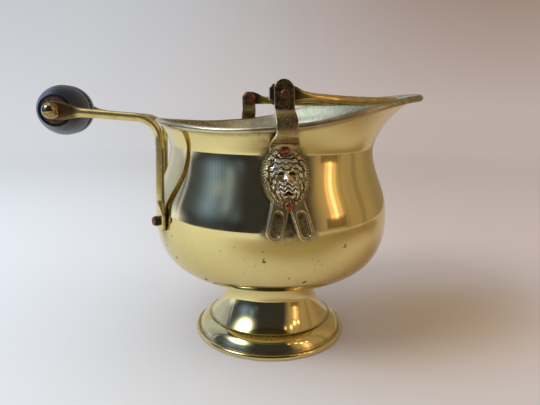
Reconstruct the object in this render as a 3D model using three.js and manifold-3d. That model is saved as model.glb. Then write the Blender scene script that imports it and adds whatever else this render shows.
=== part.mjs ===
// A small helmet-shaped coal scuttle in spun brass: a pot with a flared pouring lip on a hollow foot,
// two lion-mask ears that carry a swinging bail, and a rear handle of two bent arms with a turned grip.
// Millimetres, +Z up, +X towards the pouring lip, +Y to the left. The scuttle stands on z = 0, and the
// origin lies on the floor under the middle of its length.
import * as THREE from 'three';
import * as BufferGeometryUtils from 'three/addons/utils/BufferGeometryUtils.js';
import Module from 'manifold-3d';

const wasm = await Module();
wasm.setup();

// ---------------------------------------------------------------- driving dimensions

// Clearances
const FIT_GAP = 0.3; // between pieces that touch or turn on each other
const HEAD_GAP = 0.3; // under the head of a rivet or nut

// Pot: heights above the floor, radii of the outer face about the pot's axis
const SHEET = 1.0;
const BOTTOM_Z = 33.8;
const BOTTOM_RADIUS = 27;
const BELLY_Z = 64.5;
const BELLY_RADIUS = 59.2;
const BELLY_SQUARENESS = 2.4; // power of the rounded corner under the belly
const NECK_Z = 99;
const NECK_RADIUS = 51.2;
const SHOULDER_SKEW = 1.12; // the wall falls in more slowly just above the belly
const FLARE_RUN = 27.5; // how far the trumpet would reach past the neck
const FLARE_RISE = 27; // and how high above it
const FLARE_SQUARENESS = 1.6;
const RIM_ROLL_RADIUS = 1.4;

// Rim: the lowest and highest heights of its roll, and its share of that rise at each angle from the lip
const RIM_LOW_Z = 109.2;
const LIP_TIP_Z = 125.2;
const RIM_ANGLES = [0, 25, 40, 50, 57, 65, 75, 90, 105, 122, 150, 180];
const RIM_SHARES = [1, 0.912, 0.856, 0.738, 0.613, 0.463, 0.288, 0.125, 0.038, 0, 0.069, 0.15];

// Foot
const FOOT_SHEET = 1.2;
const FOOT_ROLL_RADIUS = 1.3;
const FOOT_RADIUS = 40.4;
const FOOT_STEP_RADIUS = 32.7;
const FOOT_STEP_Z = 8.9;
const FOOT_STEP_LEDGE = 0.5;
const FOOT_NECK_RADIUS = 23.4;
const FOOT_NECK_Z = 26;
const FOOT_TOP_RADIUS = 25.8;
const SOLDER_WIDTH = 1.6;
const SOLDER_DEPTH = 1.2;

// Bail and its pivots, measured from the pot's axis
const PIVOT_X = -5.2;
const PIVOT_Z = 123.6;
const BAIL_ROD_RADIUS = 2;
const BAIL_REACH = 68.5; // from the pivots to the middle of the front bend
const BAIL_POINTEDNESS = 1.8; // power of its arch in plan: 2 is an ellipse
const BAIL_SAG = 1.7;
const BAIL_EYE_HALF_WIDTH = 4.1;
const BAIL_TAILS = { left: 4.1, right: 5.6 }; // how far the flattened ends run on behind the pivots
const BAIL_CLIPPED_SHARE = 0.6; // the right end is cut off square, with clipped corners this wide apart
const BAIL_EYE_THICKNESS = 2.4;
const BAIL_TAPER = 13.6; // from the pivot to where the rod is round
const PIVOT_PIN_RADIUS = 1.5;
const PIVOT_HEAD_RADIUS = 1.95;
const PIVOT_INNER_HEAD_RADIUS = 3.7;

// Ears
const EAR_PLATE = 1.5;
const EAR_STRAP_WIDTH = 8.2;
const EAR_STRAP_BEND_Z = 117.4;
const EAR_STRAP_OUT = 2.3; // inner face of the upright part, outside the pot's neck
const EAR_STRAP_Y = NECK_RADIUS + EAR_STRAP_OUT;
const STRAP_CORNER = 1; // length over which the upper bend is rounded
const ROLL_WRAP_RISE = 1.6; // the strap reaches the rim's roll this far above its middle
const ROLL_WRAP_DROP = 3.2; // and has turned in again this far below it
const EAR_TOP_RISES = { left: 4.2, right: 5.9 }; // top of each strap above its pivot
const EAR_CREASE_Z = 105.2;
const SHOULDER_REACH = 1.9; // the strap widens this much to either side, to meet the mask
const SHOULDER_TOP_Z = 109.8;
const SHOULDER_FOOT_Z = 103.8;
const EAR_LEAN = 2.4; // the tails stand this much nearer the lip than the pivot
const MASK_Z = 90.9;
const MASK_HALF_WIDTH = 10;
const MASK_HALF_HEIGHT = 14.2;
const MASK_DOME = 1.5;
const MASK_MUZZLE = 1.5;
const MASK_BORDER = 1.3;
const BORDER_RISE = 0.7;
const TAIL_HALF_WIDTH = 3.8;
const TAIL_RIM = 2; // the raised edge round a tail's long hollow
const TAIL_TOP_OFFSET = 3.4;
const TAIL_TOP_Z = 79.5;
const TAIL_FOOT_OFFSET = 6.5;
const TAIL_FOOT_Z = 68.5;
const EAR_RIVET_Z = [101.8, 79.3];
const EAR_RIVET_NAMES = ['top_rivet', 'bottom_rivet'];
const EAR_RIVET_HEAD_RADIUS = 2;
const RIVET_SHANK_RADIUS = 1.3;
const RIVET_INNER_HEAD_RADIUS = 2.3;
const RIVET_HEAD_HEIGHT = 1.1;

// Rear handle, measured from the pot's axis
const GRIP_X = -99;
const GRIP_Z = 116;
const GRIP_LENGTH = 41;
const GRIP_RADIUS = 11.6;
const GRIP_END_RADIUS = 6.8;
const GRIP_FALL_POWER = 2.4; // how its radius falls from the middle to the ends
const GRIP_GROOVE_WIDTH = 1.7;
const GRIP_GROOVE_DEPTH = 0.8;
const SPINDLE_RADIUS = 1.6;
const WASHER_THICKNESS = 0.8;
const WASHER_RADIUS = 3.4;
const BALL_NUT_RADIUS = 3.5;
const BALL_NUT_FLAT = 0.5; // height of the cap cut off its seat side
const ARM_ROD_RADIUS = 1.9;
const ARM_EYE_HALF_WIDTH = 3.9;
const ARM_EYE_THICKNESS = 2.2;
const ARM_TAPER = 12;
const ARM_BEND_RADIUS = 9.5;
const BEZIER_QUARTER = 0.55; // handle length that makes a quarter circle of radius 1
const ARM_STANDOFF = 4.2; // the upright part stands this far behind the pot's neck
const ARM_UPRIGHT_X = -(NECK_RADIUS + ARM_STANDOFF);
const EYE_BLEND = 2; // the eye keeps its full width this far past the spindle
const ARM_FRONT_Z = 113.5;
const PADDLE_HALF_WIDTH = 4;
const PADDLE_THICKNESS = 1.9;
const PADDLE_LENGTH = 15;
const PADDLE_BLEND = 7; // the rod flattens over this length, up to the top of the paddle
const PADDLE_TWIST = 4; // and turns square to the pot over this length to either side of it
const PADDLE_FOOT_Z = 61.4;
const ARM_RIVET_Z = 66.6;
const ARM_RIVET_HEAD_RADIUS = 2.1;
const COLLAR_THICKNESS = 1.6;
const COLLAR_RADIUS = 2.3;

// Facets
const POT_SEGMENTS = 44;
const FOOT_SEGMENTS = 36;
const ROD_SIDES = 10;
const GRIP_SEGMENTS = 24;
const NUT_SEGMENTS = 16;
const RIVET_SEGMENTS = 12;
const ROW_CROWDING = 1.4; // more rows towards the rim, where the wall turns fastest

// ---------------------------------------------------------------- finishes

const finish = (color, roughness, metalness) =>
  new THREE.MeshStandardMaterial({ color, roughness, metalness });
const BRASS = finish(0xcdb25e, 0.14, 1);
const BAR_BRASS = finish(0xb4923f, 0.25, 1);
const CAST_BRASS = finish(0x8c7c55, 0.4, 1);
const COPPER = finish(0x96573a, 0.4, 1);
const DARK_STEEL = finish(0x3b342d, 0.55, 0.9);
const SOLDER = finish(0x9a9890, 0.5, 0.9);
const BLACK_WOOD = finish(0x25262b, 0.2, 0);

// ---------------------------------------------------------------- helpers

const vec = (x, y, z) => new THREE.Vector3(x, y, z);
const Y_AXIS = vec(0, 1, 0);
const Z_AXIS = vec(0, 0, 1);

// Evenly spaced values from one end to the other, both included.
function steps(from, to, count) {
  return Array.from({ length: count + 1 }, (_, i) => from + ((to - from) * i) / count);
}

// Closed skin over a list of rings that all have as many points, each end brought to a point.
// Rings run anticlockwise seen from the last ring looking back at the first.
function skin(rings, startPole, endPole) {
  const count = rings[0].length;
  const points = [...rings.flat(), startPole, endPole];
  const start = points.length - 2;
  const end = points.length - 1;
  const faces = [];
  for (let j = 0; j < count; j += 1) {
    const k = (j + 1) % count;
    const last = (rings.length - 1) * count;
    faces.push(start, k, j);
    faces.push(end, last + j, last + k);
    for (let i = 0; i + 1 < rings.length; i += 1) {
      const low = i * count;
      const high = low + count;
      faces.push(low + j, low + k, high + k);
      faces.push(low + j, high + k, high + j);
    }
  }
  const geometry = new THREE.BufferGeometry();
  geometry.setAttribute('position', new THREE.Float32BufferAttribute(points.flatMap((p) => p.toArray()), 3));
  geometry.setIndex(faces);
  return geometry;
}

// Turned piece about Z from [radius, height] points that close on themselves or end on the axis.
function turned(profile, segments) {
  const geometry = new THREE.LatheGeometry(profile.map(([r, z]) => new THREE.Vector2(r, z)), segments);
  return geometry.rotateX(Math.PI / 2);
}

function solid(geometry) {
  const bare = geometry.clone();
  bare.deleteAttribute('normal');
  bare.deleteAttribute('uv');
  const merged = BufferGeometryUtils.mergeVertices(bare, 1e-4);
  const vertProperties = Float32Array.from(merged.attributes.position.array);
  const triVerts = Uint32Array.from(merged.index.array);
  return new wasm.Manifold(new wasm.Mesh({ numProp: 3, vertProperties, triVerts }));
}

function geometryOf(manifold) {
  const mesh = manifold.getMesh();
  const geometry = new THREE.BufferGeometry();
  geometry.setAttribute('position', new THREE.BufferAttribute(Float32Array.from(mesh.vertProperties), 3));
  geometry.setIndex(new THREE.BufferAttribute(Uint32Array.from(mesh.triVerts), 1));
  return geometry;
}

const joined = (geometries) => geometryOf(geometries.map(solid).reduce((a, b) => a.add(b)));
const cut = (geometry, cutters) =>
  geometryOf(cutters.map(solid).reduce((a, b) => a.subtract(b), solid(geometry)));
const common = (a, b) => geometryOf(solid(a).intersect(solid(b)));

// Turns a piece made along Z so that Z points along `axis`, and moves its origin to `at`.
function aimed(geometry, axis, at) {
  const turn = new THREE.Quaternion().setFromUnitVectors(Z_AXIS, axis.clone().normalize());
  return geometry.applyQuaternion(turn).translate(at.x, at.y, at.z);
}

// Round hole cutter of length 2 * reach about `at`.
function drill(radius, reach, axis, at) {
  const bit = new THREE.CylinderGeometry(radius, radius, 2 * reach, RIVET_SEGMENTS);
  return aimed(bit.rotateX(Math.PI / 2), axis, at);
}

// The same piece on the other side of the middle plane, its faces turned to point out again.
function mirrored(geometry) {
  const copy = geometry.clone().scale(1, -1, 1);
  if (copy.index === null) {
    copy.setIndex([...Array(copy.attributes.position.count).keys()]);
  }
  const index = copy.index.array;
  for (let i = 0; i < index.length; i += 3) {
    [index[i], index[i + 1]] = [index[i + 1], index[i]];
  }
  return copy;
}

// Bar lofted through stations {at, wide, thin, halfWide, halfThin, power}: `power` 2 gives an ellipse,
// more gives a flatter strip.
function bar(stations) {
  const ring = (s) =>
    Array.from({ length: ROD_SIDES }, (_, i) => {
      const angle = (2 * Math.PI * (i + 0.5)) / ROD_SIDES;
      const bulge = (value) => Math.sign(value) * Math.abs(value) ** (2 / s.power);
      return s.at.clone()
        .addScaledVector(s.wide, s.halfWide * bulge(Math.cos(angle)))
        .addScaledVector(s.thin, s.halfThin * bulge(Math.sin(angle)));
    });
  return skin(stations.map(ring), stations[0].at, stations.at(-1).at);
}

const mix = THREE.MathUtils.lerp;
const smooth = THREE.MathUtils.smoothstep;

// ---------------------------------------------------------------- pot

// Radius of the pot's outer face at a height, from its flat bottom to the end of the trumpet.
function potRadius(z) {
  if (z < BELLY_Z) {
    const fall = (BELLY_Z - z) / (BELLY_Z - BOTTOM_Z);
    const share = (1 - Math.min(fall, 1) ** BELLY_SQUARENESS) ** (1 / BELLY_SQUARENESS);
    return BOTTOM_RADIUS + (BELLY_RADIUS - BOTTOM_RADIUS) * share;
  }
  if (z < NECK_Z) {
    const climb = ((z - BELLY_Z) / (NECK_Z - BELLY_Z)) ** SHOULDER_SKEW;
    return mix(NECK_RADIUS, BELLY_RADIUS, (1 + Math.cos(Math.PI * climb)) / 2);
  }
  const climb = Math.min((z - NECK_Z) / FLARE_RISE, 1);
  return NECK_RADIUS + FLARE_RUN * (1 - (1 - climb ** FLARE_SQUARENESS) ** (1 / FLARE_SQUARENESS));
}

// Outward unit normal of the outer face at a height, as [radial, upward].
function potNormal(z) {
  const step = 0.05;
  const slope = (potRadius(z + step) - potRadius(z - step)) / (2 * step);
  const length = Math.hypot(1, slope);
  return [1 / length, -slope / length];
}

// Height of the rim's outer edge at an angle from the lip, in degrees.
const rimShare = new THREE.CubicInterpolant(RIM_ANGLES, RIM_SHARES, 1);
rimShare.settings = { endingStart: THREE.ZeroSlopeEnding, endingEnd: THREE.ZeroSlopeEnding };
const rimHeight = (degrees) => mix(RIM_LOW_Z, LIP_TIP_Z, rimShare.evaluate(degrees)[0]);

// [radius, height] of the sheet's far face, a sheet thickness in from the outer face.
function innerPoint(z) {
  const [out, up] = potNormal(z);
  return [potRadius(z) - SHEET * out, z - SHEET * up];
}

// One meridian of the pot as a closed [radius, height] outline: up the outer face, round the rolled rim,
// down the inner face. Both ends lie on the axis.
function potMeridian(degrees) {
  const top = rimHeight(degrees);
  const [out, up] = potNormal(top);
  const offset = RIM_ROLL_RADIUS - SHEET; // the roll lies flush with the inner face
  const centre = [potRadius(top) + offset * out, top + offset * up];
  const startAngle = -Math.PI + Math.acos(offset / RIM_ROLL_RADIUS);
  const lower = steps(0, 1, 6).map((t) => {
    const angle = (t * Math.PI) / 2;
    return mix(BELLY_Z, BOTTOM_Z, Math.cos(angle) ** (2 / BELLY_SQUARENESS));
  });
  const middle = steps(BELLY_Z, NECK_Z, 6).slice(1);
  const flare = steps(0, 1, 6).slice(1, -1).map((t) => mix(NECK_Z, top, 1 - (1 - t) ** ROW_CROWDING));
  const heights = [...lower, ...middle, ...flare];
  const outer = heights.map((z) => [potRadius(z), z]);
  const roll = steps(startAngle, Math.PI, 6).map((angle) => {
    const across = RIM_ROLL_RADIUS * Math.cos(angle);
    const along = RIM_ROLL_RADIUS * Math.sin(angle);
    return [centre[0] + across * out - along * up, centre[1] + across * up + along * out];
  });
  const inner = heights.slice(1).reverse().map(innerPoint);
  const floorZ = BOTTOM_Z + SHEET;
  return [[BOTTOM_RADIUS / 2, BOTTOM_Z], ...outer, ...roll, ...inner, [BOTTOM_RADIUS - SHEET, floorZ],
    [BOTTOM_RADIUS / 2, floorZ]];
}

function pot() {
  const angles = steps(0, 2 * Math.PI, POT_SEGMENTS).slice(0, -1);
  const fromLip = (angle) => THREE.MathUtils.radToDeg(Math.min(angle, 2 * Math.PI - angle));
  const meridians = angles.map((angle) => potMeridian(fromLip(angle)));
  const rings = meridians[0].map((_, i) =>
    angles.map((angle, j) => {
      const [radius, z] = meridians[j][i];
      return vec(radius * Math.cos(angle), radius * Math.sin(angle), z);
    }));
  return skin(rings, vec(0, 0, BOTTOM_Z), vec(0, 0, BOTTOM_Z + SHEET));
}

// ---------------------------------------------------------------- foot

// Outer radius of the foot above its neck, which opens again under the pot.
const flareRadius = (z) =>
  mix(FOOT_NECK_RADIUS, FOOT_TOP_RADIUS, ((z - FOOT_NECK_Z) / (BOTTOM_Z - FOOT_NECK_Z)) ** 2);

function foot() {
  const rollX = FOOT_RADIUS - FOOT_ROLL_RADIUS;
  const roll = steps(-Math.PI / 3, (2 * Math.PI) / 3, 4).map((angle) => [
    rollX + FOOT_ROLL_RADIUS * Math.cos(angle),
    FOOT_ROLL_RADIUS * (1 + Math.sin(angle) / Math.sin(Math.PI / 3)) ]);
  const flangeEnd = roll.at(-1);
  const flange = steps(0, 1, 3).slice(1).map((t) => [
    mix(flangeEnd[0], FOOT_STEP_RADIUS, t) + FOOT_STEP_LEDGE * Math.sin(Math.PI * t),
    mix(flangeEnd[1], FOOT_STEP_Z, t) + FOOT_STEP_LEDGE * Math.sin(Math.PI * t) ]);
  const coveRadius = (z) => mix(FOOT_NECK_RADIUS, FOOT_STEP_RADIUS - FOOT_STEP_LEDGE,
    ((FOOT_NECK_Z - z) / (FOOT_NECK_Z - FOOT_STEP_Z)) ** 2);
  const cove = steps(FOOT_STEP_Z, FOOT_NECK_Z, 5).map((z) => [coveRadius(z), z]);
  const flare = steps(FOOT_NECK_Z, BOTTOM_Z, 3).slice(1).map((z) => [flareRadius(z), z]);
  const outer = [...flange, ...cove, ...flare];
  const inner = outer.slice(0, -1).reverse().map(([r, z]) => [r - FOOT_SHEET, z - FOOT_SHEET / 2]);
  const topInner = [FOOT_TOP_RADIUS - FOOT_SHEET, BOTTOM_Z];
  const heel = [rollX - FOOT_ROLL_RADIUS, 0];
  const profile = [heel, ...roll, ...outer, topInner, ...inner, heel];
  return turned(profile, FOOT_SEGMENTS);
}

// Fillet in the corner between the foot's inner face and the pot's bottom. The foot narrows below the
// joint, so the fillet's outer side clears the foot's inner face at the fillet's lower edge.
function solderSeam() {
  const outer = flareRadius(BOTTOM_Z - SOLDER_DEPTH + FOOT_SHEET / 2) - FOOT_SHEET - FIT_GAP;
  const inner = outer - SOLDER_WIDTH;
  const low = [outer, BOTTOM_Z - SOLDER_DEPTH];
  return turned([low, [outer, BOTTOM_Z], [inner, BOTTOM_Z], low], FOOT_SEGMENTS);
}

// ---------------------------------------------------------------- rivets

// Rivet along Z. Its outer head stands on z = 0 and its inner head hangs under z = -grip.
function rivet(grip, headRadius, innerRadius, shankRadius, headHeight) {
  const dome = (radius, base, height) => steps(0, Math.PI / 2, 3).map((angle) => [
    radius * Math.cos(angle), base + height * Math.sin(angle)]);
  const outer = dome(headRadius, 0, headHeight);
  const inner = dome(innerRadius, -grip, -headHeight).reverse();
  outer.at(-1)[0] = 0;
  inner[0][0] = 0;
  return turned([...inner, [shankRadius, -grip], [shankRadius, 0], ...outer], RIVET_SEGMENTS);
}

// ---------------------------------------------------------------- ears

const earX = (z) => PIVOT_X + (EAR_LEAN * (PIVOT_Z - z)) / (PIVOT_Z - TAIL_FOOT_Z);

// Distance of the pot's outer face from the middle plane at a place across and up.
const potSide = (x, z) => Math.sqrt(potRadius(z) ** 2 - x * x);

// The rolled rim beside the ears: its height, and how far it reaches from the pot's axis.
const rollZ = rimHeight(90);
const rollReach = potRadius(rollZ) + 2 * RIM_ROLL_RADIUS - SHEET;

// Inner face of the ear along its middle, as [distance from the middle plane, height], from the top down.
// It goes up straight, leans out over the rolled rim, comes in again under it and then lies on the pot.
const strapPath = [
  [EAR_STRAP_Y, PIVOT_Z + Math.max(EAR_TOP_RISES.left, EAR_TOP_RISES.right) + EAR_PLATE],
  [EAR_STRAP_Y, EAR_STRAP_BEND_Z + STRAP_CORNER],
  [EAR_STRAP_Y + 0.6 * STRAP_CORNER, EAR_STRAP_BEND_Z - 0.9 * STRAP_CORNER],
  [rollReach - 0.25 * ROLL_WRAP_RISE, rollZ + ROLL_WRAP_RISE],
  [rollReach + FIT_GAP, rollZ],
  [rollReach + FIT_GAP, rollZ - 0.56 * ROLL_WRAP_DROP],
  [rollReach - 0.22 * ROLL_WRAP_DROP, rollZ - ROLL_WRAP_DROP],
  [potRadius(EAR_CREASE_Z) + 2 * FIT_GAP, EAR_CREASE_Z],
];
const maskHeights = steps(EAR_CREASE_Z - 2.2, TAIL_FOOT_Z - TAIL_HALF_WIDTH - 1.5, 10);

// Rise of the cast mask above its plate: a dome with a muzzle below its middle and a brow above it. Their
// places and widths are shares of the mask's half width and half height.
function maskRise(across, z) {
  const u = across / MASK_HALF_WIDTH;
  const v = (z - MASK_Z) / MASK_HALF_HEIGHT;
  const dome = MASK_DOME * Math.max(0, 1 - u * u - v * v);
  const muzzle = MASK_MUZZLE * Math.exp(-((u / 0.38) ** 2) - ((v + 0.3) / 0.26) ** 2);
  const brow = 0.5 * MASK_MUZZLE * Math.exp(-((u / 0.5) ** 2) - ((v - 0.15) / 0.14) ** 2);
  return dome + muzzle + brow;
}

// Curved sheet that follows the ear's path: it starts `lift` above the inner face and is `thickness` thick.
function earSheet(lift, thickness, rise) {
  const middle = [...strapPath, ...maskHeights.map((z) => [potSide(earX(z), z) + FIT_GAP, z])];
  const columns = steps(-MASK_HALF_WIDTH - 2, MASK_HALF_WIDTH + 2, 8);
  const rings = middle.map(([y, z], i) => {
    const [before, after] = [middle[Math.max(i - 1, 0)], middle[Math.min(i + 1, middle.length - 1)]];
    const length = Math.hypot(after[0] - before[0], after[1] - before[1]);
    const normal = [(before[1] - after[1]) / length, (after[0] - before[0]) / length];
    const lies = 1 - smooth(z, EAR_CREASE_Z - 2.2, EAR_CREASE_Z);
    const point = (across, height) => {
      const bent = potSide(earX(z) + across, z) + FIT_GAP;
      const base = mix(y, bent, lies);
      return vec(earX(z) + across, base + height * normal[0], z + height * normal[1]);
    };
    const back = columns.map((across) => point(across, lift));
    const front = columns.map((across) => point(across, lift + thickness + rise(across, z)));
    return [...front, ...back.reverse()];
  });
  const centreOf = (ring) => ring.reduce((sum, p) => sum.add(p), vec(0, 0, 0)).divideScalar(ring.length);
  return skin(rings, centreOf(rings[0]), centreOf(rings.at(-1)));
}

// Outlines as prisms from the middle plane out through the ear, drawn across and up about its own middle.
function prism(points) {
  const shape = new THREE.Shape(points.map(([x, z]) => new THREE.Vector2(x, z)));
  const depth = Math.max(BELLY_RADIUS, NECK_RADIUS) + 2 * MASK_HALF_WIDTH;
  const block = new THREE.ExtrudeGeometry(shape, { depth, bevelEnabled: false }).rotateX(Math.PI / 2);
  block.translate(PIVOT_X, depth, 0);
  const lean = EAR_LEAN / (PIVOT_Z - TAIL_FOOT_Z);
  const shear = new THREE.Matrix4().set(1, 0, -lean, lean * PIVOT_Z, 0, 1, 0, 0, 0, 0, 1, 0, 0, 0, 0, 1);
  return block.applyMatrix4(shear);
}

const oval = (halfWidth, halfHeight) =>
  prism(steps(0, 2 * Math.PI, 20).slice(0, -1).map((a) => [
    halfWidth * Math.cos(a), MASK_Z + halfHeight * Math.sin(a)]));

function strapOutline(topRise) {
  const half = EAR_STRAP_WIDTH / 2;
  const top = steps(0, Math.PI, 6).map((a) => [
    half * Math.cos(a), PIVOT_Z + topRise - half * (1 - Math.sin(a))]);
  const shoulder = steps(SHOULDER_FOOT_Z, SHOULDER_TOP_Z, 4).map((z) => [
    half + SHOULDER_REACH * (1 - smooth(z, SHOULDER_FOOT_Z, SHOULDER_TOP_Z)), z]);
  const front = [[half + SHOULDER_REACH, MASK_Z], ...shoulder];
  const back = front.map(([x, z]) => [-x, z]).reverse();
  return prism([...front, ...top, ...back]);
}

// Long loop that hangs under the mask and leans out to one side: side is 1 towards the lip, -1 away.
function tailOutline(side, halfWidth) {
  const top = [side * TAIL_TOP_OFFSET, TAIL_TOP_Z];
  const low = [side * TAIL_FOOT_OFFSET, TAIL_FOOT_Z];
  const heading = Math.atan2(low[1] - top[1], low[0] - top[0]);
  const cap = ([x, z], from) => steps(from - Math.PI / 2, from + Math.PI / 2, 5).map((a) => [
    x + halfWidth * Math.cos(a), z + halfWidth * Math.sin(a)]);
  return prism([...cap(top, heading + Math.PI), ...cap(low, heading)]);
}

function ear(topRise) {
  const strap = strapOutline(topRise);
  const outlines = [strap, oval(MASK_HALF_WIDTH, MASK_HALF_HEIGHT),
    tailOutline(1, TAIL_HALF_WIDTH), tailOutline(-1, TAIL_HALF_WIDTH)];
  const plate = common(earSheet(0, EAR_PLATE, maskRise), joined(outlines));
  const border = cut(oval(MASK_HALF_WIDTH, MASK_HALF_HEIGHT), [
    oval(MASK_HALF_WIDTH - MASK_BORDER, MASK_HALF_HEIGHT - MASK_BORDER), strap]);
  const rings = [1, -1].map((side) => cut(tailOutline(side, TAIL_HALF_WIDTH), [
    tailOutline(side, TAIL_HALF_WIDTH - TAIL_RIM)]));
  const raised = common(earSheet(EAR_PLATE / 2, EAR_PLATE / 2 + BORDER_RISE, () => 0),
    joined([border, ...rings]));
  const holes = EAR_RIVET_Z.flatMap((z) => {
    const at = vec(earX(z), earSeat(z), z);
    const seat = drill(EAR_RIVET_HEAD_RADIUS + FIT_GAP, MASK_HALF_WIDTH, Y_AXIS, at);
    return [
      drill(RIVET_SHANK_RADIUS + FIT_GAP, MASK_HALF_WIDTH, Y_AXIS, at),
      seat.translate(0, MASK_HALF_WIDTH, 0),
    ];
  });
  const pivotHole = drill(PIVOT_PIN_RADIUS + FIT_GAP, MASK_HALF_WIDTH, Y_AXIS,
    vec(PIVOT_X, EAR_STRAP_Y, PIVOT_Z));
  return cut(joined([plate, raised]), [...holes, pivotHole]);
}

// Distance of the flat spot under an ear rivet's head from the middle plane.
const earSeat = (z) => potSide(earX(z), z) + FIT_GAP + EAR_PLATE;

function earRivet(z) {
  const x = earX(z);
  const head = earSeat(z) + HEAD_GAP;
  const inside = Math.min(...[-1, 1].map((s) => {
    const [radius] = innerPoint(z + s * RIVET_INNER_HEAD_RADIUS);
    return Math.sqrt(radius ** 2 - (Math.abs(x) + RIVET_INNER_HEAD_RADIUS) ** 2);
  })) - HEAD_GAP;
  const body = rivet(head - inside, EAR_RIVET_HEAD_RADIUS, RIVET_INNER_HEAD_RADIUS, RIVET_SHANK_RADIUS,
    RIVET_HEAD_HEIGHT);
  return aimed(body, Y_AXIS, vec(x, head, z));
}

function pivotRivet() {
  const head = EAR_STRAP_Y + EAR_PLATE + HEAD_GAP;
  const inside = EAR_STRAP_Y - FIT_GAP - BAIL_EYE_THICKNESS - HEAD_GAP;
  const body = rivet(head - inside, PIVOT_HEAD_RADIUS, PIVOT_INNER_HEAD_RADIUS, PIVOT_PIN_RADIUS,
    RIVET_HEAD_HEIGHT);
  return aimed(body, Y_AXIS, vec(PIVOT_X, head, PIVOT_Z));
}

// ---------------------------------------------------------------- bail

// Lowest height at which the bail's rod, lying across the lip at a radius, clears its inner face.
function restHeight(radius) {
  const clear = BAIL_ROD_RADIUS + FIT_GAP;
  const touching = steps(NECK_Z, LIP_TIP_Z, 200).map(innerPoint)
    .filter(([r]) => Math.abs(r - radius) < clear)
    .map(([r, z]) => z + Math.sqrt(clear ** 2 - (r - radius) ** 2));
  return Math.max(...touching);
}

// Stations of the flattened ends: how far each lies behind the pivot, and its width as a share.
const leftTail = [1, 0.86, 0.5, 0].map((t) => ({
  back: t * BAIL_TAILS.left, share: Math.sqrt(1.06 - t * t) }));
const rightTail = [[1, BAIL_CLIPPED_SHARE], [0.72, 1], [0, 1]].map(([t, share]) => ({
  back: t * BAIL_TAILS.right, share }));

function bail() {
  const halfSpan = EAR_STRAP_Y - FIT_GAP - BAIL_EYE_THICKNESS / 2;
  const drop = PIVOT_Z - restHeight(PIVOT_X + BAIL_REACH);
  const straight = PIVOT_INNER_HEAD_RADIUS + 2 * FIT_GAP;
  const archPlace = (angle) => {
    const u = Math.cos(angle) ** (2 / BAIL_POINTEDNESS);
    const side = Math.abs(Math.sin(angle)) ** (2 / BAIL_POINTEDNESS) * Math.sign(Math.sin(angle));
    return vec(PIVOT_X + BAIL_REACH * u, halfSpan * side, PIVOT_Z - drop * u - 4 * BAIL_SAG * u * (1 - u));
  };
  const arch = steps(Math.PI / 2, -Math.PI / 2, 28).slice(1, -1).map(archPlace)
    .filter((at) => at.x > PIVOT_X + 1.5 * straight)
    .map((at) => ({ at, share: 1 }));
  const ahead = [straight / 2, straight].map((reach) => ({ back: -reach, share: 1 }));
  const end = (side, tail) => [...tail, ...ahead].map(({ back, share }) => ({
    at: vec(PIVOT_X - back, side * halfSpan, PIVOT_Z), share }));
  const path = [...end(1, leftTail), ...arch, ...end(-1, rightTail).reverse()];
  const stations = path.map(({ at, share }, i) => {
    const next = path[Math.min(i + 1, path.length - 1)].at;
    const previous = path[Math.max(i - 1, 0)].at;
    const along = next.clone().sub(previous).normalize();
    const thin = along.clone().cross(Z_AXIS).normalize();
    const wide = thin.clone().cross(along).normalize();
    const flatness = (start) =>
      (1 - THREE.MathUtils.clamp((at.x - PIVOT_X - start) / (BAIL_TAPER - start), 0, 1)) ** 2;
    return {
      at, wide, thin,
      halfWide: mix(BAIL_ROD_RADIUS, BAIL_EYE_HALF_WIDTH, flatness(straight / 2)) * share,
      halfThin: mix(BAIL_ROD_RADIUS, BAIL_EYE_THICKNESS / 2, flatness(straight)),
      power: mix(2, 5, flatness(straight / 2)),
    };
  });
  const holes = [1, -1].map((side) =>
    drill(PIVOT_PIN_RADIUS + FIT_GAP, BAIL_EYE_THICKNESS, Y_AXIS, vec(PIVOT_X, side * halfSpan, PIVOT_Z)));
  return cut(bar(stations), holes);
}

// ---------------------------------------------------------------- rear handle

const washerY = GRIP_LENGTH / 2 + FIT_GAP;
const armInnerY = washerY + WASHER_THICKNESS + FIT_GAP;
const armY = armInnerY + ARM_EYE_THICKNESS / 2;
const ballSeatY = armInnerY + ARM_EYE_THICKNESS + HEAD_GAP;

// Turned grip along Y: a barrel that thins towards both ends, with a groove round its middle.
function grip() {
  const bore = SPINDLE_RADIUS + FIT_GAP;
  const half = GRIP_LENGTH / 2;
  const barrel = (y) => mix(GRIP_RADIUS, GRIP_END_RADIUS, (y / half) ** GRIP_FALL_POWER);
  const side = steps(half, GRIP_GROOVE_WIDTH / 2, 6).map((y) => [barrel(y), y]);
  const groove = [[GRIP_RADIUS - GRIP_GROOVE_DEPTH, 0.25 * GRIP_GROOVE_WIDTH],
    [GRIP_RADIUS - GRIP_GROOVE_DEPTH, -0.25 * GRIP_GROOVE_WIDTH]];
  const otherSide = side.map(([r, y]) => [r, -y]).reverse();
  const profile = [[bore, half], ...side, ...groove, ...otherSide, [bore, -half], [bore, half]];
  return aimed(turned(profile.reverse(), GRIP_SEGMENTS), Y_AXIS, vec(GRIP_X, 0, GRIP_Z));
}

function spindle() {
  const half = ballSeatY + BALL_NUT_RADIUS;
  const rod = new THREE.CylinderGeometry(SPINDLE_RADIUS, SPINDLE_RADIUS, 2 * half, RIVET_SEGMENTS);
  return rod.translate(GRIP_X, 0, GRIP_Z);
}

// Outline of a flat ring that stands on z = 0.
const ringProfile = (bore, radius, height) =>
  [[bore, 0], [radius, 0], [radius, height], [bore, height], [bore, 0]];

function gripWasher() {
  const bore = SPINDLE_RADIUS + FIT_GAP;
  const washer = turned(ringProfile(bore, WASHER_RADIUS, WASHER_THICKNESS), NUT_SEGMENTS);
  return aimed(washer, Y_AXIS, vec(GRIP_X, washerY, GRIP_Z));
}

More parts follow.
